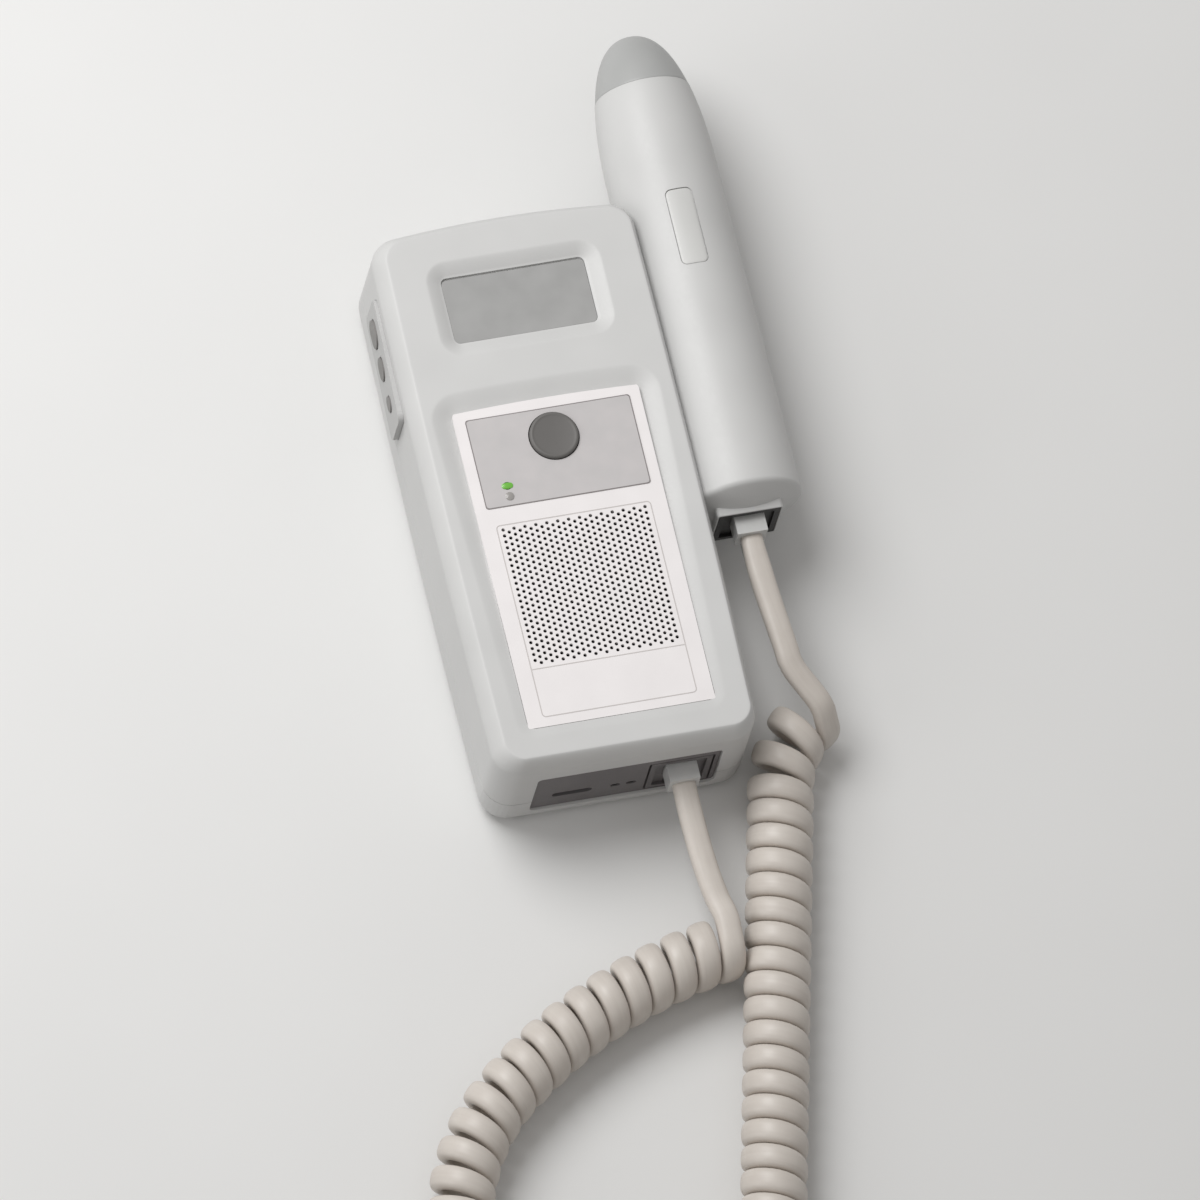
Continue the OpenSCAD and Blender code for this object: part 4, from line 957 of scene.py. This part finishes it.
cut(halves[1], rests, "board_rests", "UNION")
for half, node in zip(halves, ("probe_front_shell", "probe_rear_shell")):
    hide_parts(node)
    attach(half, "probe")

# %% [markdown]
# The cap is a little smaller than the body at the seam, so the seam shows as a fine step. Inside
# it is bored for the crystals' mount. The badge is a thin plate that follows the body's curve.

# %% Acoustic cap
cap_u = CAP_L * np.linspace(0, 1, 41) ** 2
cap_side = np.column_stack([probe_radius(cap_u) - 0.1 * cap_u / CAP_L, cap_u])
cap_outline = np.vstack([
    cap_side[:-1], rounded((seam_r - 0.1, CAP_L - 0.15), (seam_r - 0.1, CAP_L), (seam_r - 0.3, CAP_L), 4),
    [(seam_r - 1.35, CAP_L), (seam_r - 1.35, CAP_L + 3.6), (7.6, CAP_L + 3.6), (7.6, CAP_L - 3),
     (4.6, 5), (0, 5)]])
cap = Maker()
turned(cap, cap_outline, on_probe, np.linspace(0, 360, 97))
nose_cap = piece_of("acoustic_cap", cap.mesh("acoustic_cap", 0.001), "cap_plastic")
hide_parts("probe_nose_cap")
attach(nose_cap, "probe")

# %% Badge


def badge_height(points):
    r = probe_radius(TIP_Y - points[:, 1]) - 0.12
    return PROBE_Z + np.sqrt(r ** 2 - (points[:, 0] - PROBE_X) ** 2)


badge_loops = [box_loop(BADGE_MID, BADGE_SIZE, BADGE_R, g) for g in (0, -0.06, -0.22)]
badge = Maker()
badge_rows = [at(badge_loops[0], BADGE_FLOOR)] + [
    at(loop, badge_height(loop) - drop) for loop, drop in zip(badge_loops, (0.24, 0.07, 0.0))]
badge.bands(badge_rows)
badge.lid(badge_rows[0])
badge_rings = [box_loop(BADGE_MID, BADGE_SIZE, BADGE_R, -g) for g in (0.7, 1.2)]
badge_rings += [box_loop(BADGE_MID, (w, 14), w / 3) for w in (3, 1.5)]
badge.add(*sheet(badge_loops[-1], [], badge_rings, badge_height))
badge_plate = piece_of("badge_plate", badge.mesh("badge_plate", 0.002), "badge_plastic")
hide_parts("probe_badge")
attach(badge_plate, "probe")

# %% [markdown]
# ## Port plate
# A grey insert in the unit's bottom end. Its openings have a clear gap round the jack, which the
# eye reads as a dark line, and its edge is softened so that it catches a thin light.

# %% Port plate
PORT_OUT, PORT_IN = 0.6, 1.8
port_edge = [box_loop(PORT_MID, (46.7, 19.4), 1.0, g) for g in (0, -0.05, -0.2)]
port_holes = [box_loop(JACK_MID, (16.7, 15.7), 0.5), slot_loop(SOCKET_MID, 10.2, 2.2)]
port_holes += [slot_loop((x, PORT_Z), 2.6, 1.5) for x in CHARGE_LIGHTS_X]
port = Maker()
port.bands([facing_out(loop, "y", y)
            for loop, y in zip([port_edge[0]] + port_edge, (PORT_IN, 0.8, 0.65, PORT_OUT))])
for hole in port_holes:
    port.bands([facing_out(hole, "y", y) for y in (PORT_OUT, PORT_IN)])
for border, y in ((port_edge[-1], PORT_OUT), (port_edge[0], PORT_IN)):
    flat_points, flat_faces = sheet(border, port_holes, [], y)
    port.add(flat_points[:, [0, 2, 1]], flat_faces)
port_plate = piece_of("port_insert", port.mesh("port_insert"), "port_plastic")
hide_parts("port_plate")
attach(port_plate, "unit")
# The charge socket's nickel shell and its inside all take the black finish: painted shade for the dark of its
# recess.
for node, key in (("unit_jack", "socket_plastic"), ("charge_socket", "black_plastic"),
                  ("charge_lights", "dark_lens")):
    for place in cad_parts[node].material_slots:
        place.material = finish[key]

# %% [markdown]
# ## Power key
# A round silicone key with a rounded shoulder and a shallow dish for the fingertip. It is turned,
# like the probe, but round a standing axis.

# %% Power key


def on_button(r, h, a):
    return np.column_stack([r * math.cos(a), BUTTON_Y + r * math.sin(a), h])


dish_r = np.linspace(5.2, 0, 14)
button_outline = np.vstack([
    [(0, 28.2), (2, 28.2), (2, 30.9), (7.25, 30.9), (7.25, 31.9), (6.15, 31.9)],
    rounded((6.15, 35.7), (6.15, 36.25), (5.7, 36.36), 6),
    rounded((5.6, 36.38), (5.4, 36.4), (5.25, 36.32), 4),
    np.column_stack([dish_r, 36.3 - 0.26 * (1 - (dish_r / 5.2) ** 2)])])
button = Maker()
turned(button, button_outline, on_button, np.linspace(0, 360, 81))
power_key = piece_of("power_key", button.mesh("power_key"), "button_rubber")
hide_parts("power_button")
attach(power_key, "power_button")

# %% [markdown]
# ## Lights, printed lines and painted shade
# Two light pipes rise from the board through the label: a flat green bar and a small grey round
# one. The label's printed frame, a grey line under the sound holes that is painted shade of the
# hole field's embossed lower edge, and a dark line round the film's edge are laid on as strips a
# few hundredths of a millimetre thick, so they stay crisp from any side.

# %% Light pipes
lights = Maker()
for y, cap_loop in ((GREEN_Y, slot_loop((LIGHTS_X, GREEN_Y), 2.9, 1.5)),
                    (GREY_Y, round_loop(LIGHTS_X, GREY_Y, 2.2, 32))):
    add_block(lights, round_loop(LIGHTS_X, y, 1.8, 24), "z", 23.3, 35.47)
    middle = cap_loop.mean(axis=0)
    cap_rows = [at(cap_loop, 35.46), at(cap_loop, 35.56), at(middle + (cap_loop - middle) * 0.86, 35.64)]
    lights.bands(cap_rows)
    lights.lid(cap_rows[0])
    lights.lid(cap_rows[-1])
light_pipes = piece_of("light_pipes", lights.mesh("light_pipes"), "green_lens", "light_lens")
between_lights = placed([0, (GREY_Y + GREEN_Y) / 2, 0])[0][1]
for face in light_pipes.data.polygons:
    face.material_index = 0 if face.center.y > between_lights else 1
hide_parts("status_lights")
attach(light_pipes, "unit")

# %% Printed lines and a painted shade line


def strip_round(maker, middle, size, r, wide, low, high):
    inner, outer = box_loop(middle, size, r, 0, 2.0), box_loop(middle, size, r, wide, 2.0)
    maker.bands([at(inner, low), at(outer, low), at(outer, high), at(inner, high), at(inner, low)])


STRIP_LOW, STRIP_HIGH, FILM_STRIP_TOP = 35.29, 35.34, 35.46
frame_and_emboss_shade_lines = Maker()
strip_round(frame_and_emboss_shade_lines, (0, 38.3), (38.8, 51.2), 0.8, 0.28, STRIP_LOW, STRIP_HIGH)
# A grey line under the sound holes: painted shade of the hole field's embossed lower edge.
add_block(frame_and_emboss_shade_lines, box_loop((0, 25.3), (38.7, 0.26), 0.05, step=5), "z", STRIP_LOW, STRIP_HIGH)
film_line = Maker()
# A dark line round the film's edge.
strip_round(film_line, (0, 80.7), (41.38, 23.58), 0.5, 0.24, STRIP_LOW, FILM_STRIP_TOP)
for maker, name, key in ((frame_and_emboss_shade_lines, "label_frame_and_emboss_shade_lines", "printed_line"),
                         (film_line, "film_edge_line", "printed_edge")):
    lines_piece = piece_of(name, maker.mesh(name, 0.001), key)
    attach(lines_piece, "unit")

# %% [markdown]
# ## Studio
# A plain pale table runs on to the picture's edges. A soft lamp from the upper left models the
# dishes in the face, a weaker one far to the left lights the keys' side, and an even white world
# fills the rest, so that colours render about as they are written. Only the light that bounces off
# the table sees it darker, which keeps the object's upright faces calm.

# %% Table, lamps and world
TABLE_HALF, TABLE_Z = 3, -0.0001
table = bpy.data.objects.new("table", bpy.data.meshes.new("table"))
bpy.context.scene.collection.objects.link(table)
table.data.from_pydata([(x * TABLE_HALF, y * TABLE_HALF, TABLE_Z)
                        for x, y in ((-1, -1), (1, -1), (1, 1), (-1, 1))], [], [(0, 1, 2, 3)])
material, tree, where = start("table_lacquered_white")
cloudy = add(tree, "ShaderNodeTexNoise", {"Vector": where, "Scale": 1000 / 60})
seen = add(tree, "ShaderNodeMix", two_colours(cloudy, "#ECECEB", "#E8E8E7"), 2, data_type="RGBA")
path = add(tree, "ShaderNodeLightPath", out=None).outputs
looks = add(tree, "ShaderNodeMath", {0: path["Is Camera Ray"], 1: path["Is Glossy Ray"]}, operation="MAXIMUM")
looks = add(tree, "ShaderNodeMath", {0: looks, 1: path["Is Transmission Ray"]}, operation="MAXIMUM")
calm = add(tree, "ShaderNodeMix", {"Factor": looks, 6: light("#BCBCBB"), 7: seen}, 2, data_type="RGBA")
table.data.materials.append(finished(material, tree, {"Base Color": calm, "Roughness": 0.65}))


def lamp(name, offset, size, power):
    data = bpy.data.lights.new(name, "AREA")
    data.shape, data.size, data.energy = "DISK", size, power
    piece = bpy.data.objects.new(name, data)
    bpy.context.scene.collection.objects.link(piece)
    piece.location = aim + Vector(offset)
    piece.rotation_mode = "QUATERNION"
    piece.rotation_quaternion = Vector(offset).to_track_quat("Z", "Y")


lamp("key_lamp", (-0.30, 0.36, 0.68), 0.58, 4.5)
lamp("fill_lamp", (-1.6, -0.1, 0.7), 1.2, 4.6)
world = bpy.data.worlds.new("studio")
bpy.context.scene.world = world
world.use_nodes = True
world.node_tree.nodes["Background"].inputs["Color"].default_value = light("#FFFDFB")
world.node_tree.nodes["Background"].inputs["Strength"].default_value = 0.36
bpy.context.scene.view_settings.view_transform = "Standard"
print("lamps", [(lit.name, round(lit.energy, 1)) for lit in bpy.data.lights])
